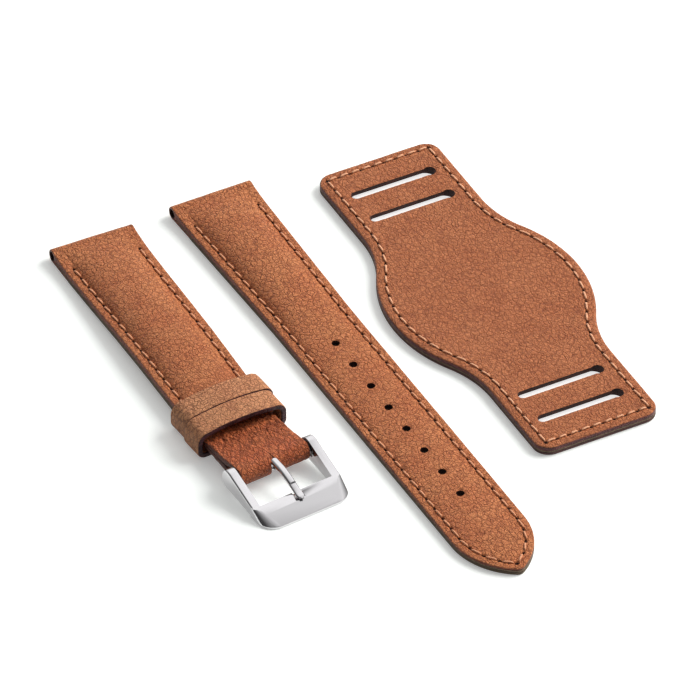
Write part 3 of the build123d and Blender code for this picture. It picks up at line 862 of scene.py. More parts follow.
@dataclass(frozen=True)
class Backdrop:
    """Matt white card: it takes the soft shadow, and shows white to the camera and in the steel, with pools
    of painted light under the pad's slots that lift the shade there.
    """

    name: str
    body: str
    lift: float
    # Pools of painted light: their middles, their glow and their half sizes.
    painted_light_pools: tuple[tuple[float, float], ...]
    pool_lift: float
    pool_half: tuple[float, float] = (13.0, 10.0)

    def pool(self, tree: NodeTree) -> NodeSocket:
        """The glow's strength: higher in the pools of painted light, the places seen through the pad's slots,
        where it lifts the shade.

        Args:
            tree: the card's node tree.

        Returns:
            The strength.
        """
        place = millimetres(tree)
        strength = self.lift
        for middle in self.painted_light_pools:
            moved = add_node(tree, "VectorMath", {
                0: place, 1: (*middle, 0.0)}, operation="SUBTRACT")
            scaled = add_node(tree, "VectorMath", {
                0: moved, 1: (*self.pool_half, 1.0)}, operation="DIVIDE")
            reach = add_node(tree, "VectorMath", {0: scaled}, operation="LENGTH")
            near = add_node(tree, "MapRange", {
                "Value": reach.outputs["Value"], "From Min": 0.9, "From Max": 1.1,
                "To Min": self.pool_lift, "To Max": self.lift}, interpolation_type="SMOOTHSTEP")
            higher = add_node(tree, "Math", {
                0: strength, 1: near}, operation="MAXIMUM")
            strength = higher.outputs["Value"]
        return strength

    def material(self) -> Material:
        """Builds the card, with a faint glow added for camera, glossy and transmission rays alone, stronger
        in the pools of painted light.

        Returns:
            The material.
        """
        material, tree = new_material(self.name)
        grain = add_node(tree, "TexNoise", {
            "Vector": millimetres(tree), "Scale": 0.05, "Detail": 2.0})
        tone = coated(tree, self.body, [(grain.outputs["Fac"], 0.3, 0.7, 0.1, "#FFFFFF")])
        card = add_node(tree, "BsdfDiffuse", {"Color": tone})
        path = add_node(tree, "LightPath", {})
        seen = add_node(tree, "Math", {
            0: path.outputs["Is Camera Ray"], 1: path.outputs["Is Glossy Ray"]}, operation="MAXIMUM")
        shown = add_node(tree, "Math", {
            0: seen.outputs["Value"], 1: path.outputs["Is Transmission Ray"]}, operation="MAXIMUM")
        amount = add_node(tree, "Math", {
            0: shown.outputs["Value"], 1: self.pool(tree)}, operation="MULTIPLY")
        glow = add_node(tree, "Emission", {
            "Color": linear("#FFFFFF"), "Strength": amount.outputs["Value"]})
        both = add_node(tree, "AddShader", {0: card, 1: glow})
        add_node(tree, "OutputMaterial", {"Surface": both})
        return material


@dataclass
class Finishes:
    """Every material of the part, built once."""

    strap: Material
    pad: Material
    tab: Material
    keeper: Material
    lining: Material
    pad_lining: Material
    cut: Material
    thread: Material
    pad_thread: Material
    steel: Material
    wire: Material
    felt: Material
    board: Material

    @staticmethod
    def build() -> "Finishes":
        """Builds the materials from their descriptions.

        Returns:
            All finishes.
        """
        return Finishes(
            strap=Leather("milled_cowhide_strap", Grain.CRACKLED, "#BE6B40", "#D98F5B", "#6A2814",
                          "#9A5440", "#743E30", turn=2.0, crease_shade=0.4).material(),
            pad=Leather("milled_cowhide_pad", Grain.PEBBLED, "#B66940", "#CD8356", "#6A2814",
                        "#7C4644", "#522E2E", crease_shade=0.34).material(),
            # The tab's leather is the straps' leather drawn darker and redder, with darker crease shade:
            # painted shade from the keeper and the fold's curve.
            tab=Leather("creased_cowhide_tab_painted_shade", Grain.CREASED, "#C25F38", "#D48050", "#481408",
                        "#7E4638", "#4E2A24", turn=4.0, roughness=0.48, crease_shade=0.46).material(),
            keeper=Leather("split_cowhide_keeper", Grain.CRACKED, "#CB855C", "#E4A474", "#7C4832",
                           "#62383E", "#2E1A1E", turn=4.0, roughness=0.58, crease_shade=0.5).material(),
            lining=Leather("vegetable_tanned_lining", Grain.PLAIN, "#9C7B5C", "#AD8C6A", "#6E5442",
                           "#6A5846", "#544638", roughness=0.65).material(),
            pad_lining=Leather("vegetable_tanned_pad_lining", Grain.PLAIN, "#9C7B5C", "#AD8C6A", "#6E5442",
                               "#5E3A38", "#442A2A", roughness=0.65).material(),
            cut=Fibre("burnished_leather_cut", "#4A241C", "#200C0A", density=(0.5, 0.5, 3.3), detail=4.0,
                      tangle=0.0, roughness=0.75, depth=0.08).material(),
            thread=Thread("bonded_polyester_thread", "#E29C70", "#A85E3A").material(),
            pad_thread=Thread("bonded_polyester_pad_thread", "#EDAE84", "#B8714C").material(),
            steel=Steel("polished_stainless_steel", "#D6D4D6", 0.09, 0.004).material(),
            wire=Steel("drawn_spring_steel", "#B8B8BC", 0.3, 0.01).material(),
            felt=Fibre("pressed_wool_felt", "#B9AFA0", "#8E8476").material(),
            board=Fibre("bonded_fibre_board", "#8A7460", "#6A584A").material(),
        )


# ---------------------------------------------------------------- padded straps

@dataclass(frozen=True)
class StrapLayers:
    """Thicknesses and borders that both padded straps share, in mm."""

    lining: float = 0.8
    stiffener: float = 0.4
    face: float = 1.3
    crown: float = 1.7
    start_crown: float = 0.05
    crown_inset: float = 2.3
    padding_inset: float = 2.9
    tube_radius: float = 1.6
    bore_radius: float = 1.0
    flap_reach: float = 9.0
    flap_gap: float = 0.15
    inner_start: float = 3.5
    padding_start: float = 4.2
    seam_inset: float = 1.8
    seam_start: float = 8.4
    stitch_pitch: float = 3.5
    groove: float = 0.16
    groove_half: float = 0.38
    hole_depth: float = 0.34
    crease_depth: float = 0.045
    wave_depth: float = 0.06
    wave: float = 5.0
    edge_fall: float = 0.1
    fall_length: float = 0.5
    crown_power: float = 2.4
    crown_round: float = 0.75
    lining_groove: float = 0.3
    ply_gap: float = 0.01
    seam_fade: float = 1.0
    column_half: float = 9.3
    column_border: float = 2.7
    lug_width: float = 19.3
    buckle_width: float = 17.2
    rim: float = 0.26

    @property
    def under(self) -> float:
        """Height of the face leather's underside."""
        return self.lining + self.stiffener

    @property
    def edge(self) -> float:
        """Height of the strap's border."""
        return self.under + self.face


@dataclass
class PaddedStrap:
    """A strap of five layers: face turned under at the lug end, padding, stiffener, lining and thread."""

    finishes: Finishes
    place: Place
    prefix: str
    body: str
    length: float
    padding_end: float
    stations: tuple[tuple[float, float, float, float], ...]
    tail_rise: float
    creases: CreaseNet
    row_step: float
    layers: StrapLayers = StrapLayers()

    def half_width(self, reach: Array) -> Array:
        """Half of the strap's width at distances from the lug end."""
        raise NotImplementedError

    def seam_lines(self) -> list[SeamLine]:
        """The runs of the seam on the face, in plan."""
        raise NotImplementedError

    def end_reach(self, inset: float) -> float:
        """Where the last row of a grid moved in by inset lies."""
        return self.length - inset

    def plan(self, reach: Array, share: Array, inset: float) -> tuple[Array, Array]:
        """Plan grid of a layer moved in from the outline.

        Args:
            reach: distance of each row from the lug end.
            share: place in the row, from -1 at one side to 1 at the other.
            inset: how far the grid stays inside the outline.

        Returns:
            Across and forward, rows by columns each.
        """
        across = (self.half_width(reach) - inset)[:, None] * share[None]
        return across, np.broadcast_to(reach[:, None], across.shape)

    def edge_distance(self, across: Array, reach: Array) -> Array:
        """How far inside the outline each point lies."""
        return self.half_width(reach) - np.abs(across)

    def tables(self, reach: Array) -> tuple[Array, Array, Array]:
        """Border height, crown and rise at distances from the lug end.

        In words: the rows of the station table joined by straight lines. Border and crown are then
        averaged over a few millimetres, so that no kink shows.

        Args:
            reach: distances from the lug end, in mm.

        Returns:
            The three, in mm.
        """
        layers = self.layers
        places = np.array([layers.tube_radius] + [row[0] * self.length for row in self.stations])
        edges = np.array([2 * layers.tube_radius] + [row[1] * layers.edge for row in self.stations])
        crowns = np.array([layers.start_crown] + [row[2] * layers.crown for row in self.stations])
        rises = np.array([0.0] + [row[3] * self.tail_rise for row in self.stations])
        spread = np.linspace(-1, 1, 9) * np.minimum(2.5, np.maximum(reach - places[0], 0))[..., None]
        edge = np.interp(reach[..., None] + spread, places, edges).mean(axis=-1)
        crown = np.interp(reach[..., None] + spread, places, crowns).mean(axis=-1)
        return edge, crown, np.interp(reach, places, rises)

    def top_height(self, across: Array, reach: Array) -> Array:
        """Height of the face without its grain.

        In words: rise + border + crown * (1 - x^2.4)^0.75, where x goes from 0 on the middle line to 1
        at the crown's foot, and a small fall towards the cut edge.

        Args:
            across, reach: the points, in mm.

        Returns:
            The heights.
        """
        layers = self.layers
        edge, crown, rise = self.tables(reach)
        inside = self.edge_distance(across, reach)
        foot = self.half_width(np.minimum(reach, self.length - self.tip_length())) - layers.crown_inset
        x = np.clip(1 - (inside - layers.crown_inset) / foot, 0, 1)
        fall = layers.edge_fall * np.exp(-inside / layers.fall_length)
        return rise + edge + crown * (1 - x ** layers.crown_power) ** layers.crown_round - fall

    def tip_length(self) -> float:
        """Length over which the strap narrows to its point."""
        return 0.0

    def seam_height(self, across: Array, reach: Array) -> Array:
        """Height of the face at its border."""
        edge, _, rise = self.tables(reach)
        return rise + edge

    def lining_height(self, across: Array, reach: Array) -> Array:
        """Height of the lining's underside, for the threads there."""
        return self.tables(reach)[2] + self.layers.lining_groove

    def columns(self) -> Array:
        """Shares across a row, closer together over the seams and borders.

        Returns:
            The shares, from -1 to 1.
        """
        half = self.layers.column_half
        inner = half - self.layers.column_border
        border = np.linspace(half, inner, 18)
        middle = np.linspace(inner, -inner, 40)
        return np.concatenate([-border, -middle[1:-1], border[::-1]]) / half

    def seam(self) -> Seam:
        """The seam on the face."""
        return Seam(self.seam_lines())

    def seam_mask(self, reach: Array) -> Array:
        """1 where the seam runs, 0 beyond its ends."""
        return smoothstep(self.layers.seam_start - self.layers.seam_fade, self.layers.seam_start, reach)

    def face_surface(self) -> Surface:
        """The face leather, from the end of its turned-under flap, round the bore and to the far end.

        In words: the path goes back along the underside, half a turn round the spring-bar bore, then
        forward over the crown. Seam groove, needle holes and creases are pressed in along the path's
        normal by the sum of their depths.

        Returns:
            The closed skin.
        """
        layers = self.layers
        share = self.columns()
        bore = layers.tube_radius
        flap = np.linspace(layers.flap_reach, bore, 16)[:-1]
        roll = np.linspace(-np.pi / 2, -3 * np.pi / 2, 26)
        turn_front = np.arange(bore + 0.12, layers.inner_start + 0.4, 0.13)
        body = np.arange(turn_front[-1] + 0.2, self.end_reach(layers.rim) - 0.05, self.row_step)
        body = np.concatenate([turn_front, body, [self.end_reach(layers.rim)]])
        reach = np.concatenate([flap, bore + bore * np.cos(roll), body])
        across, forward = self.plan(reach, share, layers.rim)
        forward = forward.copy()
        turned = len(flap) + len(roll)
        up = np.zeros_like(across)
        up[len(flap):turned] = (bore + bore * np.sin(roll))[:, None]
        up[turned:] = self.top_height(across[turned:], forward[turned:])
        normal_up = np.concatenate([-np.ones(len(flap)), np.sin(roll), np.ones(len(body))])[:, None]
        normal_forward = np.concatenate([np.zeros(len(flap)), np.cos(roll), np.zeros(len(body))])[:, None]
        run = np.concatenate([-flap - 4.0, -(3 * np.pi / 2 + roll) * bore, body])
        crease_and_shade = self.creases.at(across, np.broadcast_to(run[:, None], across.shape))
        on_top = np.zeros_like(across)
        on_top[turned:] = 1
        inside = self.edge_distance(across, forward)
        sewn = on_top * self.seam_mask(forward)
        groove = np.exp(-((inside - layers.seam_inset) / layers.groove_half) ** 2) * sewn
        holes = self.seam().needle_holes(across, forward) * sewn
        smooth = 1 - 0.75 * groove
        waves = soft_noise(across, forward, layers.wave, self.creases.seed + 3)
        depth = (groove * layers.groove + holes * layers.hole_depth + crease_and_shade * layers.crease_depth * smooth
                 + layers.wave_depth * waves + self.pressed(across, forward) * on_top)
        outer = stacked(across, forward - depth * normal_forward, up - depth * normal_up)
        inner = self.face_underside(across, forward, len(flap), roll, body)
        # Needle holes and punch rings are marked for painted shade, almost black.
        painted_hole_shade = np.maximum(holes, self.hole_rings(across, forward) * on_top)
        # Creases are marked for painted shade in the leather's colour.
        marks = {"crease_and_shade": crease_and_shade * smooth, "hole": painted_hole_shade}
        skin = closed_sheet(outer, inner, Rim(layers.rim, layers.rim, 0.1), marks)
        # The bore's inner skin is marked for painted shade, almost black.
        away = np.hypot(skin.points[:, 1] - bore, skin.points[:, 2] - bore) - layers.bore_radius
        skin.marks["hole"] = np.maximum(skin.marks["hole"], away < 0.1)
        return skin

    def pressed(self, across: Array, reach: Array) -> Array:
        """Extra depth pressed into the face."""
        return np.zeros_like(across)

    def hole_rings(self, across: Array, reach: Array) -> Array:
        """Rings of painted shade on the face, such as round punched holes."""
        return np.zeros_like(across)

    def face_underside(self, across: Array, forward: Array, flap_rows: int, roll: Array,
                       body: Array) -> Array:
        """The inner skin of the face: over the flap, round the bore and under the crown.

        Args:
            across: the outer grid's places across.
            forward: the outer grid's places forward.
            flap_rows: how many rows lie on the flap.
            roll: angles of the rows that go round the bore.
            body: reach of the rows on the strap's body.

        Returns:
            Points of the inner grid.
        """
        layers = self.layers
        centre, radius = layers.tube_radius, layers.bore_radius
        low_angle = -math.asin((centre - layers.lining) / radius)
        flap = np.linspace(layers.flap_reach, centre + radius * math.cos(low_angle), flap_rows)
        round_bore = np.linspace(low_angle, -3 * np.pi / 2, len(roll))
        flat_start = layers.inner_start + 0.1
        fore = (body - centre) / (flat_start - centre)
        low_z = layers.lining + 0.04
        swing = np.pi / 2 + math.asin((centre - low_z) / radius)
        front_angle = np.pi / 2 - np.minimum(fore / 0.6, 1) * swing
        front_reach = centre + radius * np.cos(front_angle)
        flat_reach = front_reach + np.clip((fore - 0.6) / 0.4, 0, 1) * (body - front_reach)
        body_reach = np.where(fore < 1, flat_reach, body)
        body_up = np.where(fore < 0.95, centre + radius * np.sin(front_angle), layers.under)
        inner_forward = np.concatenate([flap, centre + radius * np.cos(round_bore), body_reach])
        inner_up = np.concatenate([np.full(flap_rows, layers.lining), centre + radius * np.sin(round_bore),
                                   body_up])
        forward_grid = forward + (inner_forward - forward[:, len(across[0]) // 2])[:, None]
        plain = np.broadcast_to(inner_up[:, None], across.shape).copy()
        rows = flap_rows + len(roll)
        beyond = body >= flat_start
        rise = self.tables(forward[rows:])[2]
        hollow = self.hollow_height(across[rows:], forward[rows:])
        plain[rows:] = np.where(beyond[:, None], rise + layers.under + hollow, plain[rows:] + rise)
        return stacked(across, forward_grid, plain)

    def hollow_height(self, across: Array, reach: Array) -> Array:
        """Room for the padding above the stiffener: what the top leaves under the face's thickness.

        Args:
            across, reach: the points, in mm.

        Returns:
            The padding's thickness.
        """
        layers = self.layers
        rise = self.tables(reach)[2]
        room = self.top_height(across, reach) - layers.face - rise - layers.under
        held = smoothstep(layers.padding_start - 0.7, layers.padding_start + 0.5, reach)
        held *= 1 - smoothstep(self.padding_end - 0.5, self.padding_end + 0.7, reach)
        inside = self.edge_distance(across, reach)
        within = smoothstep(layers.padding_inset - 0.6, layers.padding_inset, inside)
        return np.maximum(room, 0) * held * within

    def flat_layer(self, start: float, low: float, high: float, rim: Rim, step: float) -> Surface:
        """A flat layer that follows the strap's outline and rise between two heights.

        Args:
            start: where it begins.
            low: height of its underside above the strap's.
            high: height of its top.
            rim: how its edge is rounded.
            step: distance between rows.

        Returns:
            The closed skin.
        """
        end = self.end_reach(rim.reach)
        reach = np.concatenate([np.arange(start + rim.reach, end - 0.05, step), [end]])
        across, forward = self.plan(reach, self.columns(), rim.reach)
        rise = self.tables(forward)[2]
        inside = self.edge_distance(across, forward)
        sewn = smoothstep(self.layers.flap_reach, self.layers.flap_reach + 0.6, forward)
        groove = np.exp(-((inside - self.layers.seam_inset) / 0.4) ** 2) * sewn * (low == 0)
        under = stacked(across, forward, rise + low + self.layers.lining_groove * groove)
        top = stacked(across, forward, rise + high)
        # The seam groove under the lining is marked for painted shade.
        return closed_sheet(under, top, rim, {"crease_and_shade": groove * 0.5})

    def padding_surface(self) -> Surface:
        """The felt under the crown: flat below, crowned above, thin at its border.

        Returns:
            The closed skin.
        """
        layers = self.layers
        gap, thinnest = 0.03, 0.06
        reach = np.arange(layers.padding_start + 0.3, self.padding_end, 0.7)
        share = np.linspace(-1, 1, 33)
        half = self.half_width(reach) - layers.padding_inset
        across = half[:, None] * share[None]
        forward = np.broadcast_to(reach[:, None], across.shape)
        rise = self.tables(forward)[2]
        hollow = np.maximum(self.hollow_height(across, forward) - gap, thinnest)
        top = stacked(across, forward, rise + layers.under + hollow)
        under = stacked(across, forward, rise + layers.under + gap / 2)
        return closed_sheet(top, under, Rim(0.05, 0.02, 0.02, 2, 1))

    def thread_surface(self) -> Surface:
        """Stitches on the face and, between the same needle holes, under the lining.

        Returns:
            The skins of all stitches.
        """
        rng = np.random.default_rng(int(self.creases.seed) + 11)
        seam = self.seam()
        return Surface.joined([seam.thread(self.seam_height, 1.0, rng),
                               seam.thread(self.lining_height, -1.0, rng)])

    def build(self) -> list[Object]:
        """Makes the five layers and settles them on the strap's body.

        Returns:
            The pieces.
        """
        layers, finishes = self.layers, self.finishes
        start = layers.flap_reach + layers.flap_gap
        gap = layers.ply_gap
        lining = self.flat_layer(start, 0.0, layers.lining - gap, Rim(0.2, 0.2, 0.05), 0.5)
        board = self.flat_layer(layers.inner_start, layers.lining + gap, layers.under - gap,
                                Rim(0.05, 0.05, 0.05, 2, 1), 1.5)
        pieces = []
        for name, node, slot, surface, finish in (
                ("face_leather", "face", "strap_leather", self.face_surface(), finishes.strap),
                ("lining_leather", "lining", "lining", lining, finishes.lining),
                ("stiffener_board", "stiffener", "stiffener", board, finishes.board),
                ("padding_felt", "padding", "padding", self.padding_surface(), finishes.felt),
                ("seam_thread", "thread", "thread", self.thread_surface(), finishes.thread)):
            pieces.append(make_object(f"{self.prefix}_{name}", surface, self.place, finish))
            settle(pieces[-1], self.body, slot, f"{self.prefix}_{node}")
        self.punch(pieces[:4])
        return pieces

    def punch(self, pieces: list[Object]) -> None:
        """Cuts what is punched through the layers."""


@dataclass
class ShortStrap(PaddedStrap):
    """The strap that carries the buckle: one straight taper, raised where the keepers pass under it."""

    axis_reach: float = 85.1
    pocket_half: float = 6.0
    pocket_reach: float = 62.0
    pocket_height: float = 3.78

    def half_width(self, reach: Array) -> Array:
        """Half width: a straight taper from the lug end to the spring bar."""
        layers = self.layers
        return (layers.lug_width - (layers.lug_width - layers.buckle_width) * reach / self.axis_reach) / 2

    def seam_lines(self) -> list[SeamLine]:
        """Two straight rows, one at each side.

        Returns:
            The rows.
        """
        layers = self.layers
        reach = np.linspace(layers.seam_start, self.length - layers.seam_inset, 60)
        across = self.half_width(reach) - layers.seam_inset
        return [SeamLine(stacked(side * across, reach), layers.stitch_pitch) for side in (-1, 1)]

    def hollow_height(self, across: Array, reach: Array) -> Array:
        """Room for the padding, and for the root of the buckle's tab.

        Args:
            across, reach: the points, in mm.

        Returns:
            The padding's thickness.
        """
        room = super().hollow_height(across, reach)
        pocket = self.pocket_height - self.tables(reach)[2] - self.layers.under
        within = (np.abs(across) < self.pocket_half) & (reach > self.pocket_reach)
        return np.where(within, np.maximum(room, pocket), room)


@dataclass
class LongStrap(PaddedStrap):
    """The strap with the tongue holes: a taper, parallel sides and a pointed tip of two arcs."""

    taper: float = 46.0
    tip: float = 14.5
    tip_round: float = 1.6
    hole_count: int = 8
    hole_pitch: float = 7.8
    hole_radius: float = 0.9
    first_hole: float = 57.5
    punch_sink: float = 0.16
    punch_span: tuple[float, float] = (-1.0, 7.0)

    def tip_length(self) -> float:
        """Length over which the strap narrows to its point."""
        return self.tip

    def arc(self) -> tuple[float, float]:
        """Radius of the tip's arcs, and how far their centres lie across the middle line.

        Returns:
            Both, in mm.
        """
        half = self.layers.buckle_width / 2
        radius = (self.tip ** 2 + half ** 2) / (2 * half)
        return radius, half - radius

    def cap(self, inset: float) -> tuple[float, float, float]:
        """The round point moved in by inset.

        In words: a circle that touches both arcs from inside, so the line from an arc's centre through
        the circle's centre meets the arc where they touch.

        Args:
            inset: how far the outline is moved in.

        Returns:
            Half width and reach where the arcs end, and the reach of the circle's centre.
        """
        radius, centre = self.arc()
        start = self.length - self.tip
        up = math.sqrt((radius - self.tip_round) ** 2 - centre ** 2)
        lean = np.array([-centre, up]) / (radius - self.tip_round)
        touch = lean * (radius - inset)
        return centre + touch[0], start + touch[1], start + up

    def half_width(self, reach: Array) -> Array:
        """Half width: a straight taper, then parallel sides, then an arc to the point.

        Args:
            reach: distances from the lug end, in mm.

        Returns:
            The half widths.
        """
        layers = self.layers
        tapered = np.minimum(np.asarray(reach) / self.taper, 1)
        straight = (layers.lug_width - (layers.lug_width - layers.buckle_width) * tapered) / 2
        radius, centre = self.arc()
        past = np.clip(reach - (self.length - self.tip), 0, radius * 0.999)
        return np.where(past > 0, centre + np.sqrt(radius ** 2 - past ** 2), straight)

    def end_reach(self, inset: float) -> float:
        """Where the last row of a grid moved in by inset lies."""
        return self.cap(inset)[1]

    def plan(self, reach: Array, share: Array, inset: float) -> tuple[Array, Array]:
        """Plan grid, whose last rows bend until the very last lies on the round point.

        Args:
            reach: distance of each row from the lug end.
            share: place in the row, from -1 to 1.
            inset: how far the grid stays inside the outline.

        Returns:
            Across and forward, rows by columns each.
        """
        radius, centre = self.arc()
        start = self.length - self.tip
        past = np.clip(reach - start, 0, None)
        narrowed = centre + np.sqrt((radius - inset) ** 2 - past ** 2)
        half = np.where(past > 0, narrowed, self.half_width(np.minimum(reach, start)) - inset)
        half_end, reach_end, middle = self.cap(inset)
        cap = np.sqrt(np.maximum((self.tip_round - inset) ** 2 - (share * half_end) ** 2, 0))
        bulge = middle + cap - reach_end
        bend = smoothstep(reach_end - 6, reach_end, reach) ** 2
        return half[:, None] * share[None], reach[:, None] + bend[:, None] * bulge[None]

    def edge_distance(self, across: Array, reach: Array) -> Array:
        """How far inside the outline each point lies: from the side, or from the tip's arc.

        Args:
            across, reach: the points, in mm.

        Returns:
            The distances.
        """
        radius, centre = self.arc()
        start = self.length - self.tip
        straight = self.half_width(np.minimum(reach, start)) - np.abs(across)
        return np.where(reach > start, radius - np.hypot(np.abs(across) - centre, reach - start), straight)

    def seam_lines(self) -> list[SeamLine]:
        """At each side a tapered run, a straight one, and an arc that meets the other at the point.

        Returns:
            The runs.
        """
        layers = self.layers
        radius, centre = self.arc()
        start = self.length - self.tip
        moved = radius - layers.seam_inset
        swing = np.linspace(0, math.acos(-centre / moved), 40)
        lines = []
        for side in (-1, 1):
            reach = np.linspace(layers.seam_start, self.taper, 40)
            tapered = stacked(side * (self.half_width(reach) - layers.seam_inset), reach)
            straight_x = side * (layers.buckle_width / 2 - layers.seam_inset)
            straight = np.array([[straight_x, self.taper], [straight_x, start]])
            arc = stacked(side * (centre + moved * np.cos(swing)), start + moved * np.sin(swing))
            lines += [SeamLine(run, layers.stitch_pitch) for run in (tapered, straight, arc)]
        return lines

    def hole_distance(self, across: Array, reach: Array) -> Array:
        """Distance to the nearest tongue hole's middle."""
        nearest = np.clip(np.round((reach - self.first_hole) / self.hole_pitch), 0, self.hole_count - 1)
        return np.hypot(across, reach - self.first_hole - nearest * self.hole_pitch)

    def pressed(self, across: Array, reach: Array) -> Array:
        """The punch draws the face down a little round each hole."""
        away = self.hole_distance(across, reach) - self.hole_radius
        return self.punch_sink * np.exp(-(np.maximum(away, 0) / 0.3) ** 2)

    def hole_rings(self, across: Array, reach: Array) -> Array:
        """A narrow ring of painted shade on the rim of each hole, where the punch has drawn the face down."""
        away = self.hole_distance(across, reach) - self.hole_radius
        return 0.5 * (1 - smoothstep(0.05, 0.3, away))

    def punch(self, pieces: list[Object]) -> None:
        """Cuts the tongue holes through the layers.

        Args:
            pieces: the layers.
        """
        plan = circle(self.hole_radius)
        punches = [standing(plan, (0, self.first_hole + index * self.hole_pitch), *self.punch_span)
                   for index in range(self.hole_count)]
        for piece in pieces:
            cut(piece, Surface.joined(punches), self.place, self.finishes.cut)
            crisp(piece, 50)


# ---------------------------------------------------------------- pad

@dataclass
class SlottedPad:
    """The flat pad: face, core and lining leather with four slots and a seam all round."""

    finishes: Finishes
    place: Place
    length: float = 102.1
    end_width: float = 28.7
    middle_width: float = 44.0
    bulge_radius: float = 33.0
    waist_radius: float = 25.0
    corner: float = 3.6
    lining: float = 0.8
    core: float = 0.4
    face: float = 1.2
    seam_inset: float = 2.1
    stitch_pitch: float = 3.5
    end_pitch: float = 2.65
    slot_length: float = 20.3
    slot_width: float = 2.3
    slot_relief: float = 1.4
    punch_radius: float = 1.4
    slot_places: tuple[float, ...] = (-41.8, -33.1, 33.1, 41.8)
    rim: float = 0.5
    groove: float = 0.15
    hole_depth: float = 0.34
    crease_depth: float = 0.05
    wave_depth: float = 0.07
    wave: float = 7.0
    wave_seed: float = 3.0
    slot_sag: float = 0.12
    edge_fall: float = 0.1
    fall_length: float = 0.5
    ply_gap: float = 0.01
    thread_groove: float = 0.3
    creases: CreaseNet = CreaseNet(0.95, 1.5, 0.3, 4.0)

    def meets(self, inset: float) -> tuple[float, float]:
        """Where bulge and waist touch, and where the waist meets the straight end.

        Args:
            inset: how far the outline is moved in.

        Returns:
            Both as distances from the middle, along the pad.
        """
        end_half, middle = self.end_width / 2 - inset, self.middle_width / 2 - inset
        bulge, waist = self.bulge_radius - inset, self.waist_radius + inset
        between = end_half + waist + bulge - middle
        waist_y = math.sqrt((bulge + waist) ** 2 - between ** 2)
        return bulge * waist_y / (bulge + waist), waist_y

    def half_width(self, forward: Array, inset: float, corner: float) -> Array:
        """Half width of the outline moved in by inset.

        In words: a circle's arc in the bulge, an arc the other way in the waist, a straight end and a
        quarter circle at the corner, each met where the arcs touch.

        Args:
            forward: places along the pad.
            inset: how far the outline is moved in.
            corner: radius of the moved corner.

        Returns:
            The half widths.
        """
        end_half, middle = self.end_width / 2 - inset, self.middle_width / 2 - inset
        bulge, waist = self.bulge_radius - inset, self.waist_radius + inset
        touch, waist_y = self.meets(inset)
        far = np.abs(forward)
        in_bulge = middle - bulge + np.sqrt(np.maximum(bulge ** 2 - far ** 2, 0))
        in_waist = end_half + waist - np.sqrt(np.maximum(waist ** 2 - (waist_y - far) ** 2, 0))
        past = np.clip(far - (self.length / 2 - inset - corner), 0, corner)
        in_corner = end_half - corner + np.sqrt(np.maximum(corner ** 2 - past ** 2, 0))
        return np.where(far < touch, in_bulge, np.where(far < waist_y, in_waist, in_corner))

    def grid(self, inset: float, step: float, count: int) -> tuple[Array, Array]:
        """Plan grid of a layer, with rows closer together at the round corners.

        Args:
            inset: how far it stays inside the outline.
            step: distance between rows.
            count: points in a row.

        Returns:
            Across and forward, rows by columns each.
        """
        corner = self.corner - inset
        end = self.length / 2 - inset
        swing = np.linspace(0, np.pi / 2, 14)
        straight = np.linspace(-(end - corner), end - corner, round(2 * (end - corner) / step))
        rows = np.concatenate([-(end - corner) - corner * np.sin(swing[:0:-1]), straight,
                               end - corner + corner * np.sin(swing[1:])])
        half = self.half_width(rows, inset, corner)
        half[[0, -1]] = self.end_width / 2 - self.corner
        border = np.linspace(1, 0.72, count // 4)
        middle = np.linspace(0.72, -0.72, count - 2 * len(border) + 2)
        share = np.concatenate([-border, -middle[1:-1], border[::-1]])
        return half[:, None] * share[None], np.broadcast_to(rows[:, None], (len(rows), len(share)))

    def edge_distance(self, across: Array, forward: Array) -> Array:
        """How far inside the outline each point lies, nearly.

        Args:
            across, forward: the points, in mm.

        Returns:
            The distances.
        """
        half = self.half_width(forward, 0.0, 0.001)
        slope = np.abs(np.gradient(half, axis=0) / np.maximum(np.gradient(forward, axis=0), 1e-6))
        side = (half - np.abs(across)) / np.hypot(1, np.minimum(slope, 1))
        return np.minimum(side, self.length / 2 - np.abs(forward))

    def seam_lines(self) -> list[SeamLine]:
        """The seam's runs: two ends, and at each side two lines, two waists and a bulge.

        Returns:
            The runs.
        """
        inset = self.seam_inset
        end_half = self.end_width / 2 - inset
        touch, waist_y = self.meets(inset)
        end = self.length / 2 - inset
        runs = []
        stops = (-end, -waist_y, -touch, touch, waist_y, end)
        for start, stop in zip(stops, stops[1:]):
            forward = np.linspace(start, stop, 60)
            half = self.half_width(forward, inset, 0.001)
            half[np.abs(forward) > waist_y] = end_half
            runs += [stacked(side * half, forward) for side in (-1, 1)]
        ends = [np.array([[-end_half, side * end], [end_half, side * end]]) for side in (-1, 1)]
        return ([SeamLine(run, self.stitch_pitch) for run in runs]
                + [SeamLine(run, self.end_pitch) for run in ends])

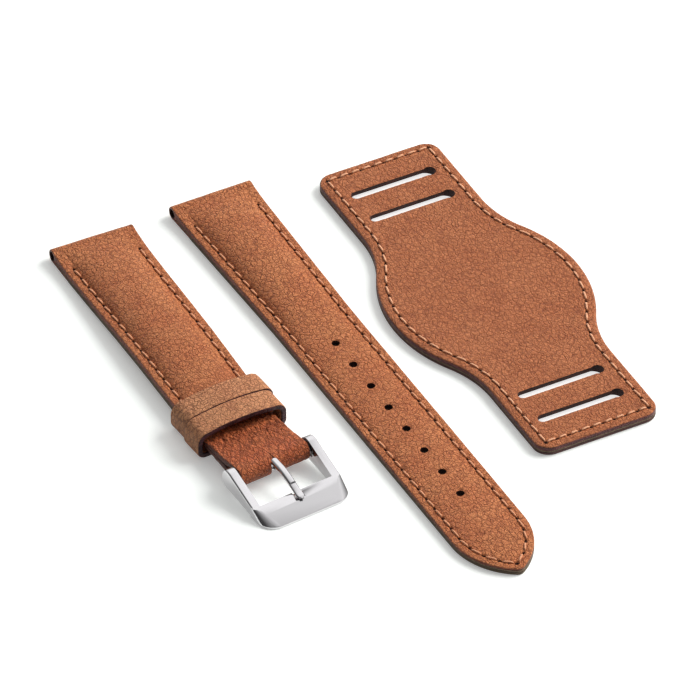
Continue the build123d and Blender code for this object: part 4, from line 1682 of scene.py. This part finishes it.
    def face_surface(self, seam: Seam) -> Surface:
        """The face: flat, with a seam groove, needle holes, fine creases and a soft sag over the slots.

        Args:
            seam: the seam whose needle holes are pressed in.

        Returns:
            The closed skin.
        """
        low, high = self.lining + self.core, self.lining + self.core + self.face
        across, forward = self.grid(self.rim, 0.34, 104)
        inside = self.edge_distance(across, forward)
        groove = np.exp(-((inside - self.seam_inset) / 0.4) ** 2)
        holes = seam.needle_holes(across, forward)
        crease_and_shade = self.creases.at(across, forward) * (1 - 0.7 * groove)
        waves = soft_noise(across, forward, self.wave, self.wave_seed)
        slot_dip = np.zeros_like(across)
        for place in self.slot_places:
            away_along = np.maximum(np.abs(across) - self.slot_length / 2 + self.slot_width / 2, 0)
            away = np.hypot(away_along, forward - place) - self.slot_width / 2
            slot_dip = np.maximum(slot_dip, np.exp(-(np.maximum(away, 0) / 0.45) ** 2))
        depth = (self.groove * groove + self.hole_depth * holes + self.crease_depth * crease_and_shade
                 + self.wave_depth * waves + self.slot_sag * slot_dip
                 + self.edge_fall * np.exp(-np.maximum(inside - self.rim, 0) / self.fall_length))
        outer = stacked(across, forward, high - depth)
        inner = stacked(across, forward, low)
        # Creases and needle holes are marked for painted shade.
        marks = {"crease_and_shade": crease_and_shade, "hole": holes}
        return closed_sheet(outer, inner, Rim(self.rim, 0.55, 0.05, 6, 3), marks)

    def under_layer(self, low: float, high: float, rim: Rim) -> Surface:
        """A layer under the face between two heights, with the seam's groove where it is the lowest.

        Args:
            low, high: the two heights.
            rim: its cut edge.

        Returns:
            The closed skin.
        """
        across, forward = self.grid(rim.reach, 1.0, 60)
        inside = self.edge_distance(across, forward)
        groove = np.exp(-((inside - self.seam_inset) / 0.45) ** 2) * (low == 0)
        under = stacked(across, forward, low + self.thread_groove * groove)
        top = stacked(across, forward, high)
        # The seam groove under the lining is marked for painted shade.
        return closed_sheet(under, top, rim, {"crease_and_shade": groove * 0.5})

    def build(self) -> list[Object]:
        """Makes the pad's layers, cuts the slots and settles them.

        Returns:
            The pieces.
        """
        finishes = self.finishes
        seam = Seam(self.seam_lines())
        height = self.lining + self.core + self.face
        rng = np.random.default_rng(5)
        threads = Surface.joined([
            seam.thread(lambda across, forward: np.full_like(across, height), 1.0, rng),
            seam.thread(lambda across, forward: np.full_like(across, self.thread_groove), -1.0, rng)])
        face = make_object("pad_face_leather", self.face_surface(seam), self.place, finishes.pad)
        core = make_object("pad_core_board", self.under_layer(
            self.lining + self.ply_gap, self.lining + self.core - self.ply_gap,
            Rim(0.08, 0.05, 0.05, 2, 1)), self.place, finishes.board)
        lining = make_object("pad_lining_leather", self.under_layer(
            0.0, self.lining - self.ply_gap, Rim(0.3, 0.3, 0.05)), self.place, finishes.pad_lining)
        thread = make_object("pad_seam_thread", threads, self.place, finishes.pad_thread)
        slot = stadium(self.slot_length, self.slot_width)
        wide_slot = stadium(self.slot_length, self.slot_width + 2 * self.slot_relief)
        round_end = circle(self.punch_radius)
        punch_x = self.slot_length / 2 - self.punch_radius
        cuts = ((face, slot), (core, wide_slot), (lining, wide_slot))
        for piece, plan in cuts:
            slots = [standing(plan, (0, place), -1.0, height + 1) for place in self.slot_places]
            cut(piece, Surface.joined(slots), self.place, finishes.cut)
        punches = [standing(round_end, (punch_x, place), -1.0, height + 1) for place in self.slot_places]
        cut(face, Surface.joined(punches), self.place, finishes.cut)
        for piece in (face, core, lining):
            crisp(piece, 50)
        settle(face, "pad", "pad_leather", "pad_face")
        settle(core, "pad", "stiffener", "pad_core")
        settle(lining, "pad", "lining", "pad_lining")
        settle(thread, "pad", "thread", "pad_thread")
        return [face, core, lining, thread]


# ---------------------------------------------------------------- keepers

@dataclass
class Keeper:
    """A leather loop round the strap, with rounded corners, a crowned top and burnished edges."""

    finishes: Finishes
    place: Place
    node: str
    body: str
    start: float
    lift: float
    seed: float
    inner_width: float = 19.4
    inner_height: float = 4.2
    crown: float = 0.7
    thickness: float = 1.2
    corner: float = 0.8
    shoulder: float = 1.6
    length: float = 5.95
    turn: float = 5.2
    outer_round: float = 0.34
    inner_round: float = 0.2
    crack_depth: float = 0.05
    wear_depth: float = 0.06
    loop_step: float = 0.29

    def inside_line(self) -> tuple[Array, Array]:
        """The loop's inner line and its outward directions, evenly spaced.

        In words: four quarter circles joined by straight sides, a flat bottom and a top that swells as
        a circle's arc; outward is the tangent turned by a quarter.

        Returns:
            Points and directions, one row each.
        """
        half, corner, top = self.inner_width / 2, self.corner, self.inner_height
        quarter = np.linspace(0, np.pi / 2, 30)
        arc = stacked(np.sin(quarter), 1 - np.cos(quarter))
        sides = np.linspace(-1, 1, 200)
        flat = half - corner
        right_low = np.array([flat, 0]) + arc * corner
        right_high = np.array([half - self.shoulder, top]) + arc[::-1] * [self.shoulder, -self.shoulder]
        over = stacked(-sides * (half - self.shoulder), top + self.crown * (1 - sides ** 2))
        left_high = right_high[::-1] * [-1, 1]
        left_low = right_low[::-1] * [-1, 1]
        bottom = stacked(sides * flat, 0 * sides)
        line = np.concatenate([bottom, right_low[1:], right_high, over[1:], left_high[1:], left_low])
        run = np.concatenate([[0], np.cumsum(np.linalg.norm(np.diff(line, axis=0), axis=1))])
        even = np.linspace(0, run[-1], 180, endpoint=False)
        loop = np.stack([np.interp(even, run, line[:, axis]) for axis in (0, 1)], axis=-1)
        way = unit(np.roll(loop, -1, axis=0) - np.roll(loop, 1, axis=0))
        return loop, stacked(way[:, 1], -way[:, 0])

    def section(self) -> Array:
        """The strap of leather cut across: a rectangle with rounded corners, as (along, depth) pairs.

        Returns:
            The outline's points, one row each.
        """
        half, thick = self.length / 2, self.thickness
        big, small = self.outer_round, self.inner_round
        turn = np.linspace(0, np.pi / 2, 6)
        outer = np.linspace(-half + big, half - big, 20)
        outer_side = stacked(outer, thick)
        right_out = stacked(half - big + big * np.sin(turn), thick - big + big * np.cos(turn))
        right_in = stacked(half - small + small * np.cos(turn), small - small * np.sin(turn))
        inner = np.linspace(half - small, -half + small, 12)
        inner_side = stacked(inner, 0 * inner)
        left_in, left_out = right_in[::-1] * [-1, 1], right_out[::-1] * [-1, 1]
        return np.concatenate([outer_side, right_out[1:], right_in, inner_side[1:-1], left_in, left_out[:-1]])

    def surface(self) -> Surface:
        """The section carried round the inner line, with fine cracks pressed into the outside.

        Returns:
            The closed skin.
        """
        loop, out = self.inside_line()
        section = self.section()
        along, depth = section[:, 0], section[:, 1]
        run = np.arange(len(loop)) * self.loop_step
        cracks = CreaseNet(1.3, 1.0, 0.16, self.seed)
        face = smoothstep(self.thickness - 0.25, self.thickness - 0.02, depth)[None]
        run_grid, along_grid = np.meshgrid(run, along, indexing="ij")
        crease_and_shade = cracks.at(run_grid, along_grid) * face
        worn = soft_noise(run_grid, along_grid, 2.5, self.seed) * face
        pushed = depth[None] - self.crack_depth * crease_and_shade - self.wear_depth * worn
        across = loop[:, None, 0] + out[:, None, 0] * pushed
        up = loop[:, None, 1] + out[:, None, 1] * pushed
        points = stacked(across, along[None], up).reshape(-1, 3)
        below = 1 - smoothstep(self.thickness - 0.16, self.thickness - 0.02, depth)
        edge = np.broadcast_to(below * (np.abs(along) > self.length / 2 - 0.33), across.shape)
        # The cracks are marked for painted shade in the leather's colour.
        marks = {"edge": edge.reshape(-1), "crease_and_shade": crease_and_shade.reshape(-1), "hole": np.zeros(len(points))}
        return Surface(points, [grid_faces(len(loop), len(section), True, True)], marks)

    def build(self) -> list[Object]:
        """Makes the loop and settles it, turned as it lies in the photograph.

        Returns:
            The one piece.
        """
        turned = self.place.ahead(self.start + self.length / 2, self.turn)
        surface = self.surface()
        surface.points[:, 2] += self.thickness + self.lift
        piece = make_object(f"{self.node}_leather", surface, turned, self.finishes.keeper)
        settle(piece, self.body, "keeper_leather", self.node)
        return [piece]


# ---------------------------------------------------------------- tab and buckle

@dataclass
class BuckleTab:
    """The thin leather folded round the spring bar, with room for the tongue."""

    finishes: Finishes
    place: Place
    axis: float = 3.4
    width: float = 16.9
    root_width: float = 9.0
    bore: float = 0.96
    leather: float = 1.3
    root_end: float = -22.5
    body_end: float = -14.5
    neck: float = -11.1
    swell: float = -5.0
    root_low: float = 2.55
    root_high: float = 3.75
    slot_half: float = 1.2
    slit_half: float = 0.11
    slit_back: float = -0.6
    eye_room: float = 1.88
    mouth_length: float = 4.4
    mouth_middle: float = 3.35
    under_length: float = 6.6
    under_middle: float = 0.3
    rim: float = 0.3
    crease_depth: float = 0.04
    fold_depth: float = 0.06
    keeper_depth: float = 0.2
    skin_sink: float = 0.05
    creases: CreaseNet = CreaseNet(0.85, 2.6, 0.3, 21.0)

    def side_line(self, sign: float, inner: bool) -> Array:
        """One side of the fold in profile, from the root to the crest of the fold.

        In words: heights above and below the axis given at a few places and joined by smoothed
        straight lines; they end on the circle round the bore.

        Args:
            sign: 1 for the upper side, -1 for the lower.
            inner: whether it is the skin towards the bore.

        Returns:
            Forward and up, one row each.
        """
        forward = np.concatenate([np.linspace(self.root_end, self.body_end, 12)[:-1],
                                  np.linspace(self.body_end, 0, 58)])
        middle = (self.root_low + self.root_high) / 2
        thick = (self.root_high - self.root_low) / 2
        places = [self.root_end, self.body_end + 0.7, self.neck, self.swell, -2.0, 0.0]
        centre = np.interp(forward, [self.body_end + 0.7, self.neck], [middle, self.axis])
        if inner:
            heights = [0.012, 0.012, 0.012, 0.02, 0.72, self.bore]
        else:
            heights = [thick, thick, self.leather, self.leather + 0.25, 2.06, self.bore + self.leather]
        spread = np.linspace(-1, 1, 7) * np.minimum(0.9, -forward)[:, None]
        height = np.interp(forward[:, None] + spread, places, heights).mean(axis=1)
        return stacked(forward, centre + sign * height)

    def profile(self, inner: bool) -> Array:
        """The whole path: along the top, half a turn round the bore and back along the underside.

        Args:
            inner: whether it is the skin towards the bore.

        Returns:
            Forward and up, one row each.
        """
        radius = self.bore if inner else self.bore + self.leather
        turn = np.linspace(np.pi / 2, -np.pi / 2, 26)[1:-1]
        fold = stacked(radius * np.cos(turn), self.axis + radius * np.sin(turn))
        return np.concatenate([self.side_line(1, inner), fold, self.side_line(-1, inner)[::-1]])

    def surface(self) -> Surface:
        """The folded sheet, strongly creased by the keeper and smoother at the fold, with painted shadow of
        the keeper.

        Returns:
            The closed skin.
        """
        outer, inner = self.profile(False), self.profile(True)
        half = np.where(outer[:, 0] < self.body_end + 0.1, self.root_width / 2, self.width / 2) - self.rim
        share = np.linspace(-1, 1, 58)
        across = half[:, None] * share[None]
        step = np.linalg.norm(np.diff(outer, axis=0), axis=1)
        run = np.concatenate([[0], np.cumsum(step)])[:, None] + 0 * across
        way = unit(np.gradient(outer, axis=0))
        normal = stacked(-way[:, 1], way[:, 0])
        forward = outer[:, :1] + 0 * across
        near_keeper = 1 - smoothstep(-9.5, -2.5, forward)
        creases = self.creases.at(across, run)
        folds = soft_noise(across * 1.8, run * 0.55, 1.0, 8.0) - 0.5
        shown = smoothstep(self.body_end + 0.5, self.body_end + 2, forward)
        extra = self.keeper_depth * near_keeper
        depth = shown * (creases * (self.crease_depth + extra) + folds * (self.fold_depth + extra)
                         + self.skin_sink)
        # The crease mark grows near the keeper: painted shadow of the keeper over the painted shade in the
        # creases.
        crease_and_shade = creases * (0.15 + 0.85 * near_keeper) * shown
        outer_grid = stacked(across, forward - depth * normal[:, :1], outer[:, 1:] - depth * normal[:, 1:])
        inner_grid = stacked(across, inner[:, :1] + 0 * across, inner[:, 1:] + 0 * across)
        marks = {"crease_and_shade": crease_and_shade, "hole": 0 * across}
        return closed_sheet(outer_grid, inner_grid, Rim(self.rim, 0.3, 0.12), marks)

    def cutters(self) -> list[Surface]:
        """Room for the tongue: its eye inside the fold, a closed slit above it, and a slot in front.

        Returns:
            The solids to cut away.
        """
        ring = circle(self.eye_room, 48)
        eye = stacked(-self.slot_half, ring[:, 0], self.axis + ring[:, 1])
        room = prism(eye, (2 * self.slot_half, 0, 0))
        slit_plan = np.array([[-self.slit_half, self.slit_back], [self.slit_half, self.slit_back],
                              [self.slit_half, 2.0], [-self.slit_half, 2.0]])
        slit = standing(slit_plan, (0, 0), self.axis, self.axis + 4)
        mouth, gap = (stadium(length, 2 * self.slot_half)[:, ::-1]
                      for length in (self.mouth_length, self.under_length))
        front = standing(mouth, (0, self.mouth_middle), self.axis - 4, self.axis + 4)
        under = standing(gap, (0, self.under_middle), self.axis - 4, self.axis)
        return [room, slit, front, under]

    def build(self) -> list[Object]:
        """Makes the tab, cuts the tongue's room and settles it on the short strap.

        Returns:
            The one piece.
        """
        piece = make_object("buckle_tab_leather", self.surface(), self.place, self.finishes.tab)
        for cutter in self.cutters():
            cut(piece, cutter, self.place, self.finishes.cut)
        crisp(piece, 55)
        settle(piece, "short_strap", "tab_leather", "buckle_tab")
        return [piece]


@dataclass
class Buckle:
    """The steel buckle: frame, tongue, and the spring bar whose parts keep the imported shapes."""

    finishes: Finishes
    place: Place
    axis: float = 3.4
    bar: float = 0.95
    eye_wall: float = 0.85
    tongue_width: float = 1.7
    tongue_thickness: float = 1.3
    rest: float = 2.04
    land_end: float = 10.4
    tongue_reach: float = 12.3
    edge_round: float = 0.16
    squareness: float = 2.8

    def frame_piece(self) -> Object:
        """The frame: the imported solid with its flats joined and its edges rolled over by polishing.

        Returns:
            The piece.
        """
        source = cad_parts["buckle_frame"]
        mesh = source.data.copy()
        mesh.name = "buckle_frame_steel"
        mesh.transform(source.matrix_world)
        work = bmesh.new()
        work.from_mesh(mesh)
        bmesh.ops.remove_doubles(work, verts=work.verts, dist=1e-6)
        bmesh.ops.dissolve_limit(work, angle_limit=math.radians(0.6), verts=work.verts, edges=work.edges)
        bmesh.ops.recalc_face_normals(work, faces=work.faces)
        work.to_mesh(mesh)
        work.free()
        mesh.materials.clear()
        mesh.materials.append(self.finishes.steel)
        piece = bpy.data.objects.new(mesh.name, mesh)
        bpy.context.collection.objects.link(piece)
        bevel = piece.modifiers.new("polished_edges", "BEVEL")
        bevel.width = self.edge_round * MM
        bevel.segments = 3
        bevel.limit_method = "ANGLE"
        bevel.angle_limit = math.radians(28)
        bake_modifiers(piece)
        crisp(piece, 40)
        return piece

    def tongue_surface(self) -> Surface:
        """The tongue: a rounded bar that curls round the spring bar and ends over the frame.

        In words: a middle line of part of a circle round the bar and smoothed straight lines to the
        tip, with a section |x/a|^2.8 + |z/b|^2.8 = 1 whose half height b and half width a fall at the tip.

        Returns:
            The closed skin.
        """
        ring = self.bar + self.eye_wall / 2
        curl = np.radians(np.linspace(-62, -262, 40))
        eye = stacked(ring * np.cos(curl), ring * np.sin(curl))
        rest = self.rest - self.axis
        places = [0.2, 1.3, 4.4, 6.8, 9.4, self.land_end, self.tongue_reach]
        heights = [1.385, 1.32, 1.16, 0.5, rest + 0.95, rest + 0.62, rest + 0.42]
        forward = np.linspace(0.25, self.tongue_reach, 90)
        spread = np.linspace(-1, 1, 9) * np.minimum(1.0, forward)[:, None]
        height = np.interp(forward[:, None] + spread, places, heights).mean(axis=1)
        line = np.concatenate([eye, stacked(forward, height)])
        way = unit(np.gradient(line, axis=0))
        normal = stacked(-way[:, 1], way[:, 0])
        grown = smoothstep(-0.6, 1.6, line[:, 0]) * (line[:, 1] > 0)
        end = smoothstep(self.tongue_reach - 1.5, self.tongue_reach, line[:, 0]) * (line[:, 1] < 1)
        half_high = (self.eye_wall + (self.tongue_thickness - self.eye_wall) * grown) / 2
        thinner = smoothstep(self.tongue_reach - 3.4, self.tongue_reach, line[:, 0])
        half_high = half_high * (1 - 0.36 * thinner)
        half_wide = self.tongue_width / 2 * np.sqrt(1 - 0.93 * end ** 2.6)
        half_high = half_high * np.sqrt(1 - 0.93 * end ** 3)
        angle = np.linspace(0, 2 * np.pi, 32, endpoint=False)
        power = 2 / self.squareness
        unit_x = np.sign(np.cos(angle)) * np.abs(np.cos(angle)) ** power
        unit_z = np.sign(np.sin(angle)) * np.abs(np.sin(angle)) ** power
        across = half_wide[:, None] * unit_x[None]
        offset = half_high[:, None] * unit_z[None]
        along = line[:, :1] + normal[:, :1] * offset
        up = self.axis + line[:, 1:] + normal[:, 1:] * offset
        points = stacked(across, along, up)
        rows, sides = across.shape
        first = np.arange(sides)[::-1][None]
        last = np.arange(sides)[None] + (rows - 1) * sides
        return Surface(points.reshape(-1, 3), [grid_faces(rows, sides, close_columns=True), first, last])

    def build(self) -> list[Object]:
        """Makes frame and tongue, and gives the spring bar's nodes their steel.

        Returns:
            The pieces.
        """
        steel_frame = self.frame_piece()
        settle(steel_frame, "buckle", "steel", "buckle_frame")
        tongue = make_object("buckle_tongue_steel", self.tongue_surface(), self.place, self.finishes.steel)
        settle(tongue, "tongue", "steel", "buckle_tongue")
        dressed = {"spring_bar_tube": self.finishes.steel, "spring_bar_left_tip": self.finishes.steel,
                   "spring_bar_right_tip": self.finishes.steel, "spring_bar_spring": self.finishes.wire}
        for node, finish in dressed.items():
            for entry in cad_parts[node].material_slots:
                entry.material = finish
        return [steel_frame, tongue]


# ---------------------------------------------------------------- studio

@dataclass(frozen=True)
class Studio:
    """Floor, light and camera: the camera stands where the photograph was taken from."""

    target: tuple[float, float, float] = (-4.84, 11.425, 0.0)
    turn: float = 27.77
    elevation: float = 39.75
    distance: float = 2526.0
    lens: float = 617.0
    sensor: float = 36.0
    floor_half: float = 3000.0
    floor_drop: float = 0.03
    # Middles of the pools of painted light on the card, seen through the pad's slots.
    painted_light_pools: tuple[tuple[float, float], ...] = ((28.2, 50.0), (28.2, -25.0))
    sky: float = 0.68
    lamp: float = 22.5
    lamp_size: float = 1050.0
    lamp_away: float = 1250.0
    lamp_way: tuple[float, float, float] = (1.0, 0.5, 0.8)
    card: str = "#EEF2EE"
    glow: float = 0.3
    # Glow of the painted light in those pools.
    pool_glow: float = 0.75

    def sight(self) -> Vector:
        """The direction in which the camera looks."""
        turn, fall = math.radians(self.turn), math.radians(self.elevation)
        return Vector((math.sin(turn) * math.cos(fall), math.cos(turn) * math.cos(fall), -math.sin(fall)))

    def camera(self) -> None:
        """Makes the camera, level and far away, so that parallel edges stay almost parallel."""
        data = bpy.data.cameras.new("camera")
        data.lens, data.sensor_width = self.lens, self.sensor
        data.clip_start, data.clip_end = 0.05, 50.0
        camera = bpy.data.objects.new("camera", data)
        camera.location = Vector(self.target) * MM - self.sight() * self.distance * MM
        camera.rotation_euler = self.sight().to_track_quat("-Z", "Y").to_euler()
        bpy.context.collection.objects.link(camera)
        bpy.context.scene.camera = camera

    def floor(self) -> None:
        """Makes the white surface that the strap lies on."""
        half = self.floor_half
        corners = np.array([[-half, -half], [half, -half], [half, half], [-half, half]])
        points = np.column_stack([corners, np.full(4, -self.floor_drop)])
        card = Backdrop("matt_white_card", self.card, self.glow, self.painted_light_pools, self.pool_glow).material()
        surface = Surface(points, [np.array([[0, 1, 2, 3]])])
        piece = make_object("floor_card", surface, Place(0, 0), card)
        if piece.data.polygons[0].normal.z < 0:
            piece.data.flip_normals()

    def light(self) -> None:
        """A pale sky, and one large soft lamp above the right of the picture, a little behind.

        In words: the sky darkens towards the horizon, towards the viewer and at both sides, so that
        the steel's facets tell apart. The lamp itself doesn't show in the steel.
        """
        world = bpy.data.worlds.new("sky")
        bpy.context.scene.world = world
        world.use_nodes = True
        tree = world.node_tree
        tree.nodes.clear()
        turn = math.radians(self.turn)
        right = Vector((math.cos(turn), -math.sin(turn), 0))
        away = Vector((math.sin(turn), math.cos(turn), 0))
        up = Vector((0, 0, 1))
        place = add_node(tree, "TexCoord", {}).outputs["Generated"]
        split = add_node(tree, "SeparateXYZ", {"Vector": place})
        height = split.outputs["Z"]
        tone = coated(tree, "#8A8E8B", [(height, -0.05, 0.45, 1.0, "#FFFFFF")])
        ahead, aside = (add_node(tree, "VectorMath", {
            0: place, 1: way}, operation="DOT_PRODUCT").outputs["Value"] for way in (away, right))
        strength = self.sky
        for value, low, high, start, end in ((ahead, -0.45, 0.6, 0.3, 1.85), (aside, -0.5, -0.05, 0.3, 1.0),
                                             (aside, 0.52, 0.8, 1.0, 0.3)):
            share = add_node(tree, "MapRange", {
                "Value": value, "From Min": low, "From Max": high, "To Min": start, "To Max": end},
                interpolation_type="SMOOTHSTEP")
            product = add_node(tree, "Math", {
                0: strength, 1: share}, operation="MULTIPLY")
            strength = product.outputs["Value"]
        sky = add_node(tree, "Background", {"Color": tone, "Strength": strength})
        add_node(tree, "OutputWorld", {"Surface": sky})
        towards = sum((way * share for way, share in zip((right, away, up), self.lamp_way)), Vector())
        towards.normalize()
        data = bpy.data.lights.new("softbox", "AREA")
        data.shape, data.size, data.energy = "DISK", self.lamp_size * MM, self.lamp
        lamp = bpy.data.objects.new("softbox", data)
        lamp.location = towards * self.lamp_away * MM
        lamp.rotation_euler = towards.to_track_quat("Z", "Y").to_euler()
        lamp.visible_glossy = False
        bpy.context.collection.objects.link(lamp)

    def build(self) -> None:
        """Sets up the whole studio."""
        self.camera()
        self.floor()
        self.light()
        bpy.context.scene.view_settings.view_transform = "Standard"


# ---------------------------------------------------------------- the strap

def build_strap() -> None:
    """Builds every piece in order and reports each."""
    log = logging.getLogger("bund_strap")
    logging.basicConfig(level=logging.INFO, format="%(message)s")
    finishes = Finishes.build()
    short_place = Place(-37.611, 68.075, -1.2)
    long_place = Place(-8.561, 69.275, 0.5)
    pad_place = Place(28.164, 12.37)
    tail_turn, tail_pivot, pivot_reach = 6.4, 75.6, 9.5
    tail_place = short_place.ahead(tail_pivot, tail_turn).ahead(pivot_reach, 0.0)
    short_strap = ShortStrap(
        finishes, short_place, prefix="short", body="short_strap", length=70.6, padding_end=60.6,
        stations=((0.06, 1.1, 0.35, 0.0), (0.13, 1.0, 0.85, 0.02), (0.28, 1.0, 1.0, 0.3),
                  (0.45, 1.0, 1.0, 0.75), (0.6, 1.0, 0.9, 1.0), (0.86, 1.0, 0.6, 1.0),
                  (1.0, 1.0, 0.45, 1.0)),
        tail_rise=1.35, creases=CreaseNet(1.1, 1.15, 0.2, 2.0), row_step=0.29)
    long_strap = LongStrap(
        finishes, long_place, prefix="long", body="long_strap", length=138.55, padding_end=98.55,
        stations=((0.03, 1.1, 0.35, 0.0), (0.07, 1.0, 0.85, 0.0), (0.15, 1.0, 1.0, 0.0),
                  (0.29, 1.0, 0.85, 0.0), (0.4, 0.92, 0.42, 0.0), (0.82, 0.82, 0.28, 0.0),
                  (1.0, 0.72, 0.1, 0.0)),
        tail_rise=1.35, creases=CreaseNet(1.1, 1.15, 0.2, 7.0), row_step=0.36)
    parts = (
        short_strap,
        long_strap,
        SlottedPad(finishes, pad_place),
        Keeper(finishes, short_place, "fixed_keeper", "short_strap", start=67.35, lift=0.15, seed=31.0),
        Keeper(finishes, short_place, "floating_keeper", "floating_keeper", start=61.1, lift=0.0, seed=47.0),
        BuckleTab(finishes, tail_place),
        Buckle(finishes, tail_place),
    )
    for part in parts:
        for piece in part.build():
            log.info("%s: %d faces", piece.name, len(piece.data.polygons))
    Studio().build()


if __name__ == "__main__":
    build_strap()
